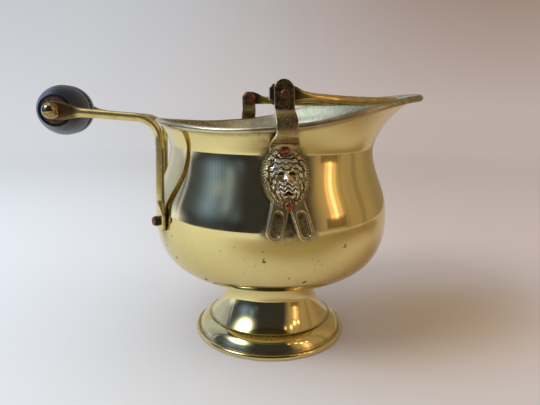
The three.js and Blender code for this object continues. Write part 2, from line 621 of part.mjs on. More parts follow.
// Ball nut with a flat seat and a blind bore for the end of the spindle.
function ballNut() {
  const bore = SPINDLE_RADIUS + FIT_GAP;
  const centre = BALL_NUT_RADIUS - BALL_NUT_FLAT;
  const seatRadius = Math.sqrt(BALL_NUT_RADIUS ** 2 - centre ** 2);
  const start = Math.atan2(-centre, seatRadius);
  const ball = steps(start, Math.PI / 2, 7).map((a) => [
    Math.max(BALL_NUT_RADIUS * Math.cos(a), 0), centre + BALL_NUT_RADIUS * Math.sin(a)]);
  ball.at(-1)[0] = 0;
  const depth = BALL_NUT_RADIUS + 2 * FIT_GAP;
  const shell = turned([[0, 0], ...ball], NUT_SEGMENTS);
  const hole = drill(bore, depth, Z_AXIS, vec(0, 0, 0));
  return aimed(cut(shell, [hole]), Y_AXIS, vec(GRIP_X, ballSeatY, GRIP_Z));
}

// Direction from the pot's axis out through the foot of the arm.
const armHeading = vec(ARM_UPRIGHT_X, armY, 0).normalize();

// Middle of the paddle: its inner face clears the belly at its fullest.
const paddleRadius = BELLY_RADIUS + FIT_GAP + PADDLE_THICKNESS / 2;

// One arm, on the left: a flat eye at the grip, a rod that runs forward and turns down, and a flat paddle
// that lies on the pot's belly.
function arm() {
  const slope = (GRIP_Z - ARM_FRONT_Z) / (ARM_UPRIGHT_X - ARM_BEND_RADIUS - GRIP_X);
  const bendStart = vec(ARM_UPRIGHT_X - ARM_BEND_RADIUS, armY, ARM_FRONT_Z);
  const bendEnd = vec(ARM_UPRIGHT_X, armY, ARM_FRONT_Z - ARM_BEND_RADIUS);
  const handle = BEZIER_QUARTER * ARM_BEND_RADIUS;
  const eyeEnd = GRIP_X - ARM_EYE_HALF_WIDTH;
  const run = [0, 0.12, 0.35, 0.7, 1].map((t) => mix(eyeEnd, GRIP_X, t))
    .concat(steps(0, 1, 4).slice(1).map((t) => GRIP_X + ARM_TAPER * t))
    .map((x) => vec(x, armY, GRIP_Z - slope * (x - GRIP_X)));
  const bendCurve = new THREE.CubicBezierCurve3(
    bendStart,
    vec(bendStart.x + handle, armY, bendStart.z - slope * handle),
    vec(bendEnd.x, armY, bendEnd.z + handle),
    bendEnd,
  );
  const footPlace = armHeading.clone().multiplyScalar(paddleRadius);
  const paddleTop = PADDLE_FOOT_Z + PADDLE_LENGTH;
  const footAt = (z) => {
    const lean = smooth(z, paddleTop - PADDLE_TWIST, bendEnd.z);
    return vec(mix(footPlace.x, ARM_UPRIGHT_X, lean), mix(footPlace.y, armY, lean), z);
  };
  const legHeights = steps(bendEnd.z, paddleTop, 3).slice(1, -1);
  const paddle = [1, 0.85, 0.6, 0.35, 0.15, 0.05, 0].map((t) => PADDLE_FOOT_Z + PADDLE_LENGTH * t);
  const points = [...run, ...bendCurve.getPoints(6), ...[...legHeights, ...paddle].map(footAt)];
  const sideways = vec(-armHeading.y, armHeading.x, 0);
  const stations = points.map((at, i) => {
    const ahead = points[Math.min(i + 1, points.length - 1)];
    const behind = points[Math.max(i - 1, 0)];
    const along = ahead.clone().sub(behind).normalize();
    const lowness = 1 - smooth(at.z, paddleTop - PADDLE_TWIST, paddleTop + PADDLE_TWIST);
    const turnedIn = Y_AXIS.clone().lerp(sideways.clone().negate(), lowness).normalize();
    const wide = turnedIn.clone().cross(along).normalize();
    const thin = turnedIn;
    const fromEye = at.x - eyeEnd;
    const fromFoot = at.z - PADDLE_FOOT_Z;
    const roundedBy = (distance, half) =>
      Math.sqrt(Math.max(1 - Math.max(1 - distance / half, 0) ** 2, 0.02));
    const eyeness = 1 - smooth(at.x, GRIP_X + EYE_BLEND, GRIP_X + ARM_TAPER);
    const footness = 1 - smooth(at.z, paddleTop - PADDLE_BLEND, paddleTop);
    const eyeHalf = ARM_EYE_HALF_WIDTH * roundedBy(fromEye, ARM_EYE_HALF_WIDTH);
    const footHalf = PADDLE_HALF_WIDTH * roundedBy(fromFoot, PADDLE_HALF_WIDTH);
    return {
      at, wide, thin,
      halfWide: mix(mix(ARM_ROD_RADIUS, eyeHalf, eyeness), PADDLE_THICKNESS / 2, footness),
      halfThin: mix(mix(ARM_ROD_RADIUS, ARM_EYE_THICKNESS / 2, eyeness), footHalf, footness),
      power: 2 + 3 * Math.max(eyeness, footness),
    };
  });
  const holes = [
    drill(SPINDLE_RADIUS + FIT_GAP, ARM_EYE_THICKNESS, Y_AXIS, vec(GRIP_X, armY, GRIP_Z)),
    drill(RIVET_SHANK_RADIUS + FIT_GAP, 2 * PADDLE_THICKNESS, armHeading,
      footPlace.clone().setZ(ARM_RIVET_Z)),
  ];
  return cut(bar(stations), holes);
}

const collarRadius = paddleRadius + PADDLE_THICKNESS / 2 + FIT_GAP;

function armCollar() {
  const bore = RIVET_SHANK_RADIUS + FIT_GAP;
  const collar = turned(ringProfile(bore, COLLAR_RADIUS, COLLAR_THICKNESS), RIVET_SEGMENTS);
  return aimed(collar, armHeading, armHeading.clone().multiplyScalar(collarRadius).setZ(ARM_RIVET_Z));
}

function armRivet() {
  const head = collarRadius + COLLAR_THICKNESS + HEAD_GAP;
  const [wall] = innerPoint(ARM_RIVET_Z + RIVET_INNER_HEAD_RADIUS);
  const inside = Math.sqrt(wall ** 2 - RIVET_INNER_HEAD_RADIUS ** 2) - HEAD_GAP;
  const body = rivet(head - inside, ARM_RIVET_HEAD_RADIUS, RIVET_INNER_HEAD_RADIUS, RIVET_SHANK_RADIUS,
    RIVET_HEAD_HEIGHT);
  return aimed(body, armHeading, armHeading.clone().multiplyScalar(head).setZ(ARM_RIVET_Z));
}

// ---------------------------------------------------------------- assembly

// The pot is drilled for the rivets of both ears and both arms.
function drilledPot() {
  const radius = RIVET_SHANK_RADIUS + FIT_GAP;
  const drills = [1, -1].flatMap((side) => [
    ...EAR_RIVET_Z.map((z) => drill(radius, 6, Y_AXIS, vec(earX(z), side * potRadius(z), z))),
    drill(radius, 6, armHeading.clone().setY(side * armHeading.y),
      vec(armHeading.x, side * armHeading.y, 0).multiplyScalar(BELLY_RADIUS).setZ(ARM_RIVET_Z)),
  ]);
  return cut(pot(), drills);
}

const scuttle = new THREE.Group();
const lipEnd = potRadius(LIP_TIP_Z) + RIM_ROLL_RADIUS;
const gripEnd = GRIP_X - GRIP_RADIUS;
scuttle.position.x = -(lipEnd + gripEnd) / 2;

function place(name, geometry, material) {
  const mesh = new THREE.Mesh(geometry, material);
  mesh.name = name;
  scuttle.add(mesh);
}

// Both pieces are drawn on the left, and the right one is mirrored.
function placePair(name, left, material, right = left) {
  place(`left_${name}`, left, material);
  place(`right_${name}`, mirrored(right), material);
}

place('bowl', drilledPot(), BRASS);
place('foot', foot(), BRASS);
place('solder_seam', solderSeam(), SOLDER);
placePair('ear', ear(EAR_TOP_RISES.left), CAST_BRASS, ear(EAR_TOP_RISES.right));
EAR_RIVET_Z.forEach((z, i) => placePair(`ear_${EAR_RIVET_NAMES[i]}`, earRivet(z), COPPER));
placePair('pivot_rivet', pivotRivet(), COPPER);
place('bail', bail(), BAR_BRASS);
placePair('handle_arm', arm(), BAR_BRASS);
placePair('arm_collar', armCollar(), DARK_STEEL);
placePair('arm_rivet', armRivet(), COPPER);
place('grip', grip(), BLACK_WOOD);
place('grip_spindle', spindle(), BAR_BRASS);
placePair('grip_washer', gripWasher(), BAR_BRASS);
placePair('ball_nut', ballNut(), BAR_BRASS);

export default scuttle;
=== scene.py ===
# %% [markdown]
# # A small brass coal scuttle
# The real scuttle is spun from thin brass sheet: a round pot with a flared pouring lip, soldered to a hollow
# foot. Two cast ears with lion masks carry a bail, and a turned grip on two bent rods sits behind. The packed
# model already holds every piece in its place, but in flat facets. So this lesson makes the surfaces that are
# seen, as fine grids worked out from formulas in the same frame, and gives each of them the finish of the
# real one.

import bpy
import numpy as np
from mathutils import Matrix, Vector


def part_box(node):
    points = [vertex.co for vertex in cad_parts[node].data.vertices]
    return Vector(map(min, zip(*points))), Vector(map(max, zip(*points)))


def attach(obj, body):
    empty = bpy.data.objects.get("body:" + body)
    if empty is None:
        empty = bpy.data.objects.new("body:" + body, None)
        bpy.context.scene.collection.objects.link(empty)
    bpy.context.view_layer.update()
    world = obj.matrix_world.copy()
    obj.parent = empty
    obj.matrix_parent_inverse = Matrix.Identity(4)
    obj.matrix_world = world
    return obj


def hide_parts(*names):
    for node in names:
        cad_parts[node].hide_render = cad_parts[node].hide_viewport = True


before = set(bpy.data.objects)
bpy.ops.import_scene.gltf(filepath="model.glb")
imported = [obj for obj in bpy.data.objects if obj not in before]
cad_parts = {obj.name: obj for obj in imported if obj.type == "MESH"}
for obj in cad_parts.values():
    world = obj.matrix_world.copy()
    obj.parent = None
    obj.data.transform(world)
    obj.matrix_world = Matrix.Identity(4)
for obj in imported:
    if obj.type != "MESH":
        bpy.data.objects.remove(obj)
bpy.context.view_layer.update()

# %% [markdown]
# ## One ruler for everything
# All shapes below are worked out in millimetres about the pot's own axis, because that is how a spinner
# would measure them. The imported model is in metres, and the pot's axis stands a little in front of its
# origin. The rod in the rear grip tells how far, so one number ties both together. Four small functions
# come back in nearly every shape: a mix, a soft step, a bell and a power that keeps its sign.

# %% Millimetres about the pot's axis
MM = 0.001
GRIP_X, GRIP_Z = -99.0, 116.0
spindle_low, spindle_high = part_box("grip_spindle")
AXIS_X = (spindle_low[0] + spindle_high[0]) / (2 * MM) - GRIP_X
rng = np.random.default_rng(7)


def mix(a, b, t):
    """a where t is 0, b where t is 1, and in proportion between."""
    return a + (b - a) * t


def smooth(x, low, high):
    """0 below low, 1 above high, and 3t^2 - 2t^3 between, with t the share of the way."""
    t = np.clip((x - low) / (high - low), 0, 1)
    return t * t * (3 - 2 * t)


def bell(x, middle, width):
    """exp of minus ((x - middle) / width) squared."""
    return np.exp(-(((x - middle) / width) ** 2))


def signed_power(value, power):
    """|value| to a power, with the value's own sign."""
    return np.sign(value) * np.abs(value) ** power


print("the pot's axis stands at x =", round(AXIS_X, 3), "mm")

# %% [markdown]
# ## From a grid of points to a mesh
# A surface is a grid of points: rows run along it and columns run around it. Four neighbours make a face.
# Where a shape closes on its axis, a single point is added and joined to the last row as a fan. Blender's
# own modifiers could close and smooth a rougher mesh, but a formula keeps every point where the real
# surface is. The signed volume of the closed skin tells whether its faces point outwards, and it is turned
# if they don't.

# %% From a grid to a closed skin


def grid_faces(rows, cols, wrap_rows=False):
    """Faces between neighbours of a rows x cols grid whose columns close round."""
    i = np.arange(rows if wrap_rows else rows - 1)[:, None]
    j = np.arange(cols)[None, :]
    i2, j2 = (i + 1) % rows, (j + 1) % cols
    return np.stack([i * cols + j, i * cols + j2, i2 * cols + j2, i2 * cols + j], -1).reshape(-1, 4)


def shell(points, wrap_rows=False, poles=None):
    """Points and faces of a closed skin: the grid, and a fan to a pole at each end if poles are given."""
    rows, cols = points.shape[:2]
    flat = points.reshape(-1, 3)
    faces = grid_faces(rows, cols, wrap_rows).tolist()
    if poles is not None:
        first, last = len(flat), len(flat) + 1
        flat = np.vstack([flat, poles])
        j = np.arange(cols)
        k = (j + 1) % cols
        base = (rows - 1) * cols
        faces += np.stack([np.full(cols, first), k, j], -1).tolist()
        faces += np.stack([np.full(cols, last), base + j, base + k], -1).tolist()
    return flat, faces


def volume(points, faces):
    """Sum over the faces' triangles of (a . b x c) / 6, which is above 0 if they point outwards."""
    quads = np.array([f if len(f) == 4 else [*f, f[2]] for f in faces])
    a, b, c, d = (points[quads[:, n]] for n in range(4))
    return float((a * (np.cross(b, c) + np.cross(c, d))).sum() / 6)


print("volume of a cube of side 2:", volume(*shell(np.array(
    [[[1, 1, z], [-1, 1, z], [-1, -1, z], [1, -1, z]] for z in (-1.0, 1.0)]), poles=[[0, 0, -1], [0, 0, 1]])))

# %% [markdown]
# ### A piece of the scuttle
# A finished piece is one mesh object at the origin, with its place in its points. It hangs from an empty
# named after the body it moves with, the imported nodes it stands for are hidden, and it has its finish.
# Extra numbers on its points, such as how worn they are, let one material look different from place to place
# without any picture.

# %% Make a piece


def new_object(name, data):
    """An object for a mesh, a lamp or a camera, put in the scene."""
    made = bpy.data.objects.new(name, data)
    bpy.context.scene.collection.objects.link(made)
    return made


def piece(name, shells, material, body, slot, stands_for, sharp=40, attributes=None):
    """One object from closed skins. attributes maps a name to one number for each point."""
    points, faces, start = [], [], 0
    for shell_points, shell_faces in shells:
        if volume(shell_points, shell_faces) < 0:
            shell_faces = [f[::-1] for f in shell_faces]
        points.append(shell_points)
        faces += [[v + start for v in f] for f in shell_faces]
        start += len(shell_points)
    points = (np.vstack(points) + [AXIS_X, 0, 0]) * MM
    mesh = bpy.data.meshes.new(name)
    mesh.from_pydata(points.tolist(), [], faces)
    mesh.polygons.foreach_set("use_smooth", np.ones(len(faces), bool))
    mesh.set_sharp_from_angle(angle=np.radians(sharp))
    for key, values in (attributes or {}).items():
        layer = mesh.attributes.new(key, "FLOAT", "POINT")
        layer.data.foreach_set("value", np.asarray(values, np.float32))
    mesh.materials.append(material)
    made = new_object(name, mesh)
    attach(made, body)
    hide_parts(*stands_for)
    print(f"{name}: {len(points)} points, {len(faces)} faces")


print("pieces are made by", piece.__name__)

# %% [markdown]
# ### Left and right
# Ears, arms, rivets, washers and nuts come in pairs that were made alike. So the left one is worked out, and
# the right one is its mirror image. A mirror modifier would join both into one object, but each has to be a
# piece of its own.

# %% Make a piece of a pair


def mirrored(skins):
    """The same skins on the other side of the scuttle. piece turns their faces outwards again."""
    return [(points * [1, -1, 1], faces) for points, faces in skins]


def side_piece(side, name, skins, material, slot, stands_for, sharp=40, attributes=None):
    """A piece as it is made on the left, or its mirror image on the right, in place of its own node."""
    skins = skins if side == "left" else mirrored(skins)
    piece(f"{side}_{name}", skins, material, "scuttle", slot, [f"{side}_{stands_for}"], sharp, attributes)


print("pieces of a pair are made by", side_piece.__name__)

# %% [markdown]
# ### Turned shapes
# Rivets, nuts, washers, the grip and the foot are all round about an axis, so each is a profile of radius
# and height carried round in a circle. Blender's Spin would do the same to an edge, but the grid is needed
# as numbers, to dent it or to aim it along another axis.

# %% Turn a profile and aim it


def turned(profile, segments):
    """Points [r cos a, r sin a, z] for each [r, z] of a profile and each of the segments' angles a."""
    profile = np.asarray(profile, float)
    angle = np.linspace(0, 2 * np.pi, segments, endpoint=False)
    r, z = profile[:, :1], profile[:, 1:]
    return np.stack([r * np.cos(angle), r * np.sin(angle), np.broadcast_to(z, (len(profile), segments))], -1)


def aimed(points, axis, at):
    """Turns a shape made along Z so that Z points along a level axis, and moves its origin to at."""
    axis = np.asarray(axis, float) / np.linalg.norm(axis)
    side = np.cross([0.0, 0.0, 1.0], axis)
    side = side / np.linalg.norm(side)
    up = np.cross(axis, side)
    return points[..., :1] * side + points[..., 1:2] * up + points[..., 2:] * axis + np.asarray(at, float)


print("a turned profile of two points has the shape", turned([[1, 0], [1, 1]], 8).shape)

# %% [markdown]
# ## Materials from small parts
# Every finish here is a metal or a lacquer whose colour, roughness and tiny relief change over the surface.
# Such a material could be wired node by node, but that hides what it is made of. So each kind of node gets
# one short word, and each finish below reads as a recipe.

# %% Short words for nodes


class Wiring:
    """A node tree, with one short word for each kind of node."""

    def __init__(self, tree):
        self.tree = tree

    def add(self, kind, **settings):
        node = self.tree.nodes.new(kind)
        for key, value in settings.items():
            setattr(node, key, value)
        return node

    def join(self, output, socket):
        self.tree.links.new(output, socket)

    def feed(self, node, values):
        """Joins each value to its socket if it comes from a node, and sets the socket if it is a number."""
        for key, value in values.items():
            socket = node.inputs[key]
            if isinstance(value, bpy.types.NodeSocket):
                self.join(value, socket)
            else:
                socket.default_value = value

    def vector(self, operation, *inputs):
        """Arithmetic on vectors. The answer is a number for LENGTH and a vector for the rest."""
        node = self.add("ShaderNodeVectorMath", operation=operation)
        self.feed(node, dict(enumerate(inputs)))
        return node.outputs["Value" if operation == "LENGTH" else "Vector"]

    def split(self, vector):
        node = self.add("ShaderNodeSeparateXYZ")
        self.join(vector, node.inputs["Vector"])
        return tuple(node.outputs)

    def point(self, x, y, z):
        node = self.add("ShaderNodeCombineXYZ")
        self.feed(node, {"X": x, "Y": y, "Z": z})
        return node.outputs["Vector"]

    def math(self, operation, result, *others):
        """Arithmetic on numbers, carried on from left to right over all of them."""
        for other in others or (0.0,):
            node = self.add("ShaderNodeMath", operation=operation)
            self.feed(node, {0: result, 1: other})
            result = node.outputs["Value"]
        return result

    def plus(self, *terms):
        return self.math("ADD", *terms)

    def times(self, *factors):
        return self.math("MULTIPLY", *factors)

    def most(self, *values):
        return self.math("MAXIMUM", *values)

    def remap(self, value, low, high, to_low=0.0, to_high=1.0, curve="SMOOTHSTEP"):
        """to_low where the value is low, to_high where it is high, and a soft step between."""
        node = self.add("ShaderNodeMapRange", interpolation_type=curve)
        self.feed(node, {"Value": value, "From Min": low, "From Max": high})
        self.feed(node, {"To Min": to_low, "To Max": to_high})
        return node.outputs["Result"]

    def blend(self, amount, a, b):
        """Colour a where the amount is 0 and b where it is 1."""
        node = self.add("ShaderNodeMix", data_type="RGBA")
        a, b = ((*color, 1) if isinstance(color, tuple) else color for color in (a, b))
        self.feed(node, {0: amount, 6: a, 7: b})
        return node.outputs[2]


def wired(holder):
    """Turns on the nodes of a material or of the world, and gives their wiring."""
    holder.use_nodes = True
    return Wiring(holder.node_tree)


print("nodes are wired by", Wiring.__name__)

# %% [markdown]
# ### Patterns on a piece
# Patterns are read in Object coordinates, in metres, so they stay on the piece wherever it moves. A Mapping
# node moves them so that the pot's axis is their middle, because spinning leaves marks that run round it.

# %% A recipe for a finish


class Recipe(Wiring):
    """A new material with one Principled shader, and the patterns that feed it."""

    def __init__(self, name, color, metallic, roughness):
        self.material = bpy.data.materials.new(name)
        super().__init__(wired(self.material).tree)
        self.shader = self.tree.nodes["Principled BSDF"]
        self.feed(self.shader, {"Base Color": (*color, 1), "Metallic": metallic, "Roughness": roughness})
        centred = self.add("ShaderNodeMapping")
        self.feed(centred, {"Vector": self.add("ShaderNodeTexCoord").outputs["Object"],
                            "Location": (-AXIS_X * MM, 0, 0)})
        self.place = centred.outputs["Vector"]

    def stretch(self, x, y, z):
        """The place, with each axis scaled on its own, for grain that runs one way."""
        return self.vector("MULTIPLY", self.place, (x, y, z))

    def bent(self, reach, scale):
        """The place, pushed about by a noise as far as reach, so that round spots turn ragged."""
        push = self.add("ShaderNodeTexNoise")
        self.feed(push, {"Vector": self.place, "Scale": scale, "Detail": 2.0})
        centred = self.vector("SUBTRACT", push.outputs["Color"], (0.5, 0.5, 0.5))
        return self.vector("MULTIPLY_ADD", centred, (reach, reach, reach), self.place)

    def round_lines(self):
        """[distance from the pot's axis, 0, height], so that a noise read there runs in circles."""
        x, y, z = self.split(self.place)
        return self.point(self.vector("LENGTH", self.point(x, y, 0.0)), 0.0, z)

    def noise(self, scale, detail=3.0, rough=0.5, vector=None, distortion=0.0):
        node = self.add("ShaderNodeTexNoise")
        self.feed(node, {"Vector": vector or self.place, "Scale": scale, "Detail": detail})
        self.feed(node, {"Roughness": rough, "Distortion": distortion})
        return node.outputs["Fac"]

    def spots(self, scale, vector, inner, outer, rare, common):
        """Dots of a radius between inner and outer, in those cells whose random number is above rare."""
        cell = self.add("ShaderNodeTexVoronoi")
        self.feed(cell, {"Vector": vector, "Scale": scale})
        near = self.remap(cell.outputs["Distance"], inner, outer, 1.0, 0.0)
        return self.times(near, self.remap(cell.outputs["Color"], rare, common))

    def attribute(self, name):
        return self.add("ShaderNodeAttribute", attribute_name=name).outputs["Fac"]

    def color(self, output):
        self.join(output, self.shader.inputs["Base Color"])

    def roughness(self, output):
        self.join(output, self.shader.inputs["Roughness"])

    def relief(self, height, depth, under=None):
        """Bump whose full height is depth, in metres, on top of another one if that is given."""
        node = self.add("ShaderNodeBump")
        self.feed(node, {"Height": height, "Distance": depth, "Strength": 1.0})
        if under is not None:
            self.join(under, node.inputs["Normal"])
        self.join(node.outputs["Normal"], self.shader.inputs["Normal"])
        return node.outputs["Normal"]


print("finishes are wired by", Recipe.__name__)

# %% [markdown]
# ## Polished brass
# The pot and the foot are spun over a form and then buffed like a mirror, so almost all of their look is
# what they mirror. Three things make them real: a faint waviness left by the spinning, hairline marks that
# run round the axis, and dark places. Tarnish gathers beside the ears, along the joint and on the lip's hem,
# where no cloth reaches, and small pits, chips and scratches are scattered low on the belly. Painting them
# on a picture would need an unwrapped mesh, so a number on each point of the mesh says where each of them
# may be, and noise does the rest. The unpolished inside is greyer, and the bead of the rim is rubbed brown.

# %% The brass of the pot and the foot
BRASS = (0.76, 0.63, 0.27)
WARM_BRASS = (0.68, 0.50, 0.18)
TARNISH = (0.085, 0.06, 0.03)


def brass_marks(r):
    """The darkest of four marks: patchy tarnish, ragged pits, ragged chips and thin scratches. A scratch is
    where a noise comes within 0.005 of its middle value."""
    low_belly = r.attribute("pitted")
    patch = r.times(r.attribute("tarnish"), r.remap(r.noise(420, 5, 0.65), 0.25, 0.7, 0.45, 1.0))
    pits = r.times(r.spots(300, r.bent(0.0016, 700), 0.08, 0.22, 0.80, 0.84), low_belly)
    chips = r.times(r.spots(115, r.bent(0.0026, 620), 0.09, 0.15, 0.46, 0.50), low_belly)
    off_middle = r.math("ABSOLUTE", r.math("SUBTRACT", r.noise(150, 2, 0.5, r.stretch(1, 1, 0.4), 1.4), 0.5))
    scratches = r.times(r.remap(off_middle, 0.0, 0.005, 1.0, 0.0), low_belly, r.remap(r.noise(60), 0.5, 0.6))
    return r.most(patch, pits, r.times(scratches, 0.6), r.times(chips, 0.85)), pits


def polished_brass(name, wave_depth, line_depth):
    """Brass in two shades, blended to grey by the attribute inside and to a worn brown by bead, with the
    marks on top. Roughness is a sum of small shares for the inside, the bead, the marks, clouds and lines."""
    r = Recipe(name, BRASS, 1.0, 0.07)
    inside, bead = r.attribute("inside"), r.attribute("bead")
    marks, pits = brass_marks(r)
    cloud = r.noise(38, 4, 0.6)
    clean = r.blend(r.remap(cloud, 0.35, 0.7, 0.0, 0.35), BRASS, WARM_BRASS)
    streaks = r.noise(500, 4, 0.6, r.stretch(1, 1, 0.15))
    grey = r.blend(r.remap(streaks, 0.3, 0.7), (0.86, 0.89, 0.66), (0.66, 0.65, 0.44))
    worn_bead = r.blend(r.remap(cloud, 0.4, 0.62), (0.66, 0.58, 0.33), (0.42, 0.31, 0.16))
    coated = r.blend(bead, r.blend(inside, clean, grey), worn_bead)
    r.color(r.blend(marks, coated, TARNISH))
    lines = r.noise(2600, 2, 0.5, r.round_lines())
    r.roughness(r.plus(r.times(inside, 0.34), r.times(bead, 0.26), r.times(marks, 0.34),
                       r.remap(r.noise(42, 4, 0.65), 0.48, 0.72, 0.0, 0.06),
                       r.remap(lines, 0.3, 0.8, 0.035, 0.085)))
    waves = r.relief(r.noise(30, 1, 0.4), wave_depth)
    r.relief(r.math("SUBTRACT", lines, r.times(pits, 6.0)), line_depth, under=waves)
    return r.material


LINE_DEPTH = 0.0000012
bowl_brass = polished_brass("bowl_brass", 0.00010, LINE_DEPTH)
foot_brass = polished_brass("foot_brass", 0.00004, LINE_DEPTH)
print("made", bowl_brass.name, "and", foot_brass.name)

# %% [markdown]
# ## The pot
# A spun pot is a profile turned about an axis, but this one was then bent and cut: the wall runs on as a
# trumpet, and the rim is cut from it, high at the lip and low at the sides. A sculpted mesh would lose the
# even roundness that the mirror finish shows off. So the outer radius depends only on height, and the
# height of the rim depends only on the angle from the lip.

# %% The pot's wall as formulas
SHEET = 1.0
BOTTOM_Z, BOTTOM_RADIUS = 33.8, 27.0
BELLY_Z, BELLY_RADIUS, BELLY_SQUARENESS = 64.5, 59.2, 2.4
NECK_Z, NECK_RADIUS, SHOULDER_SKEW = 99.0, 51.2, 1.12
FLARE_RUN, FLARE_RISE, FLARE_SQUARENESS = 27.5, 27.0, 1.6
ROLL_RADIUS = 1.4
RIM_LOW_Z, LIP_TIP_Z = 109.2, 125.2
RIM_ANGLES = np.array([0, 25, 40, 50, 57, 65, 75, 90, 105, 122, 150, 180], float)
RIM_SHARES = np.array([1, 0.912, 0.856, 0.738, 0.613, 0.463, 0.288, 0.125, 0.038, 0, 0.069, 0.15])


def pot_radius(z):
    """Outer radius at a height: a rounded corner up to the belly, half a cosine wave in to the neck, and a
    quarter of a superellipse out to the end of the trumpet."""
    z = np.asarray(z, float)
    fall = np.clip((BELLY_Z - z) / (BELLY_Z - BOTTOM_Z), 0, 1)
    lower = mix(BOTTOM_RADIUS, BELLY_RADIUS, (1 - fall**BELLY_SQUARENESS) ** (1 / BELLY_SQUARENESS))
    climb = np.clip((z - BELLY_Z) / (NECK_Z - BELLY_Z), 0, 1) ** SHOULDER_SKEW
    middle = mix(NECK_RADIUS, BELLY_RADIUS, (1 + np.cos(np.pi * climb)) / 2)
    rise = np.clip((z - NECK_Z) / FLARE_RISE, 0, 1)
    flare = NECK_RADIUS + FLARE_RUN * (1 - (1 - rise**FLARE_SQUARENESS) ** (1 / FLARE_SQUARENESS))
    return np.where(z < BELLY_Z, lower, np.where(z < NECK_Z, middle, flare))


def pot_normal(z):
    """[out, up] parts of the outward unit normal: 1 and minus the slope of the radius, over their length."""
    step = 0.05
    slope = (pot_radius(z + step) - pot_radius(z - step)) / (2 * step)
    length = np.hypot(1, slope)
    return 1 / length, -slope / length


def rim_height(degrees):
    """Cubic through the rim's shares of its rise, with level ends."""
    first, last = 2 * RIM_ANGLES[0] - RIM_ANGLES[1], 2 * RIM_ANGLES[-1] - RIM_ANGLES[-2]
    at = np.concatenate([[first], RIM_ANGLES, [last]])
    share = np.concatenate([[RIM_SHARES[1]], RIM_SHARES, [RIM_SHARES[-2]]])
    i = np.clip(np.searchsorted(at, degrees, side="right"), 2, len(at) - 2)
    t0, t1 = at[i - 1], at[i]
    before, after = 0.5 * (t1 - t0) / (t0 - at[i - 2]), 0.5 * (t1 - t0) / (at[i + 1] - t1)
    p = (degrees - t0) / (t1 - t0)
    value = ((-before * p**3 + 2 * before * p**2 - before * p) * share[i - 2]
             + ((1 + before) * p**3 + (-1.5 - 2 * before) * p**2 + (-0.5 + before) * p + 1) * share[i - 1]
             + ((-1 - after) * p**3 + (1.5 + after) * p**2 + 0.5 * p) * share[i]
             + (after * p**3 - after * p**2) * share[i + 1])
    return mix(RIM_LOW_Z, LIP_TIP_Z, value)


print("rim heights at 0, 90 and 180 degrees:", np.round(rim_height(np.array([0.0, 90.0, 180.0])), 2))

# %% [markdown]
# ### The pot's skin
# Each meridian runs up the outer face, round the rolled rim and down the inner face, one sheet thickness
# in. The bead of the rim is a circle that touches the inner face, so it stands out from the wall as a small
# hem. The rows crowd where the wall turns fastest.

# %% Points of the pot
ROLL_ROWS, DISC_ROWS = 22, 8


def pot_grid(segments):
    """The outer radius at each height, a circle for the bead, then the radius less the sheet along the
    normal, all turned about the axis. Also the number of rows that lie outside, up to the bead."""
    angle = np.linspace(0, 2 * np.pi, segments, endpoint=False)
    top = rim_height(np.degrees(np.minimum(angle, 2 * np.pi - angle)))[None, :]
    t = np.linspace(0, 1, 46)[:, None]
    lower = mix(BELLY_Z, BOTTOM_Z, np.cos(t * np.pi / 2) ** (2 / BELLY_SQUARENESS)) + 0 * top
    middle = np.linspace(BELLY_Z, NECK_Z, 36)[1:, None] + 0 * top
    t = np.linspace(0, 1, 44)[1:-1, None]
    flare = mix(NECK_Z, top, 1 - (1 - t) ** 1.4)
    heights = np.vstack([lower, middle, flare])
    out, up = pot_normal(top)
    offset = ROLL_RADIUS - SHEET
    centre_r, centre_z = pot_radius(top) + offset * out, top + offset * up
    turn = np.linspace(-np.pi + np.arccos(offset / ROLL_RADIUS), np.pi, ROLL_ROWS)[:, None]
    across, along = ROLL_RADIUS * np.cos(turn), ROLL_RADIUS * np.sin(turn)
    roll_r, roll_z = centre_r + across * out - along * up, centre_z + across * up + along * out
    inner = heights[:0:-1]
    out, up = pot_normal(inner)
    inner_r, inner_z = pot_radius(inner) - SHEET * out, inner - SHEET * up
    disc = np.linspace(0.1, 0.95, DISC_ROWS)[:, None] * BOTTOM_RADIUS
    disc_z = np.full((DISC_ROWS, segments), BOTTOM_Z)
    floor_r = disc[::-1] * (BOTTOM_RADIUS - SHEET) / BOTTOM_RADIUS
    radius = np.vstack([disc + 0 * top, pot_radius(heights), roll_r, inner_r, floor_r + 0 * top])
    height = np.vstack([disc_z, heights, roll_z, inner_z, disc_z + SHEET])
    return np.stack([radius * np.cos(angle), radius * np.sin(angle), height], -1), len(disc) + len(heights)


pot_points, outer_rows = pot_grid(288)
print("rows and columns of the pot:", pot_points.shape[:2])

# %% [markdown]
# ### Where the pot is tarnished
# Polishing cloth doesn't reach beside the ears, round the feet of the rear arms, under the rolled rim, on
# the hem of the lip and in the joint with the foot. Each of these places is a bell or a soft step of a
# distance, worked out for every point of the pot.

# %% Tarnish on the pot
PIVOT_X, PIVOT_Z = -5.2, 123.6
EAR_LEAN, TAIL_FOOT_Z, MASK_Z = 2.4, 68.5, 90.9
MASK_HALF_WIDTH, MASK_HALF_HEIGHT, STRAP_HALF = 10.0, 14.2, 4.1
ARM_RIVET_X, ARM_RIVET_Y, ARM_RIVET_Z = -54.85, 22.77, 66.6


def ear_x(z):
    """Middle of an ear at a height: it leans towards the lip as it goes down."""
    return PIVOT_X + EAR_LEAN * (PIVOT_Z - z) / (PIVOT_Z - TAIL_FOOT_Z)


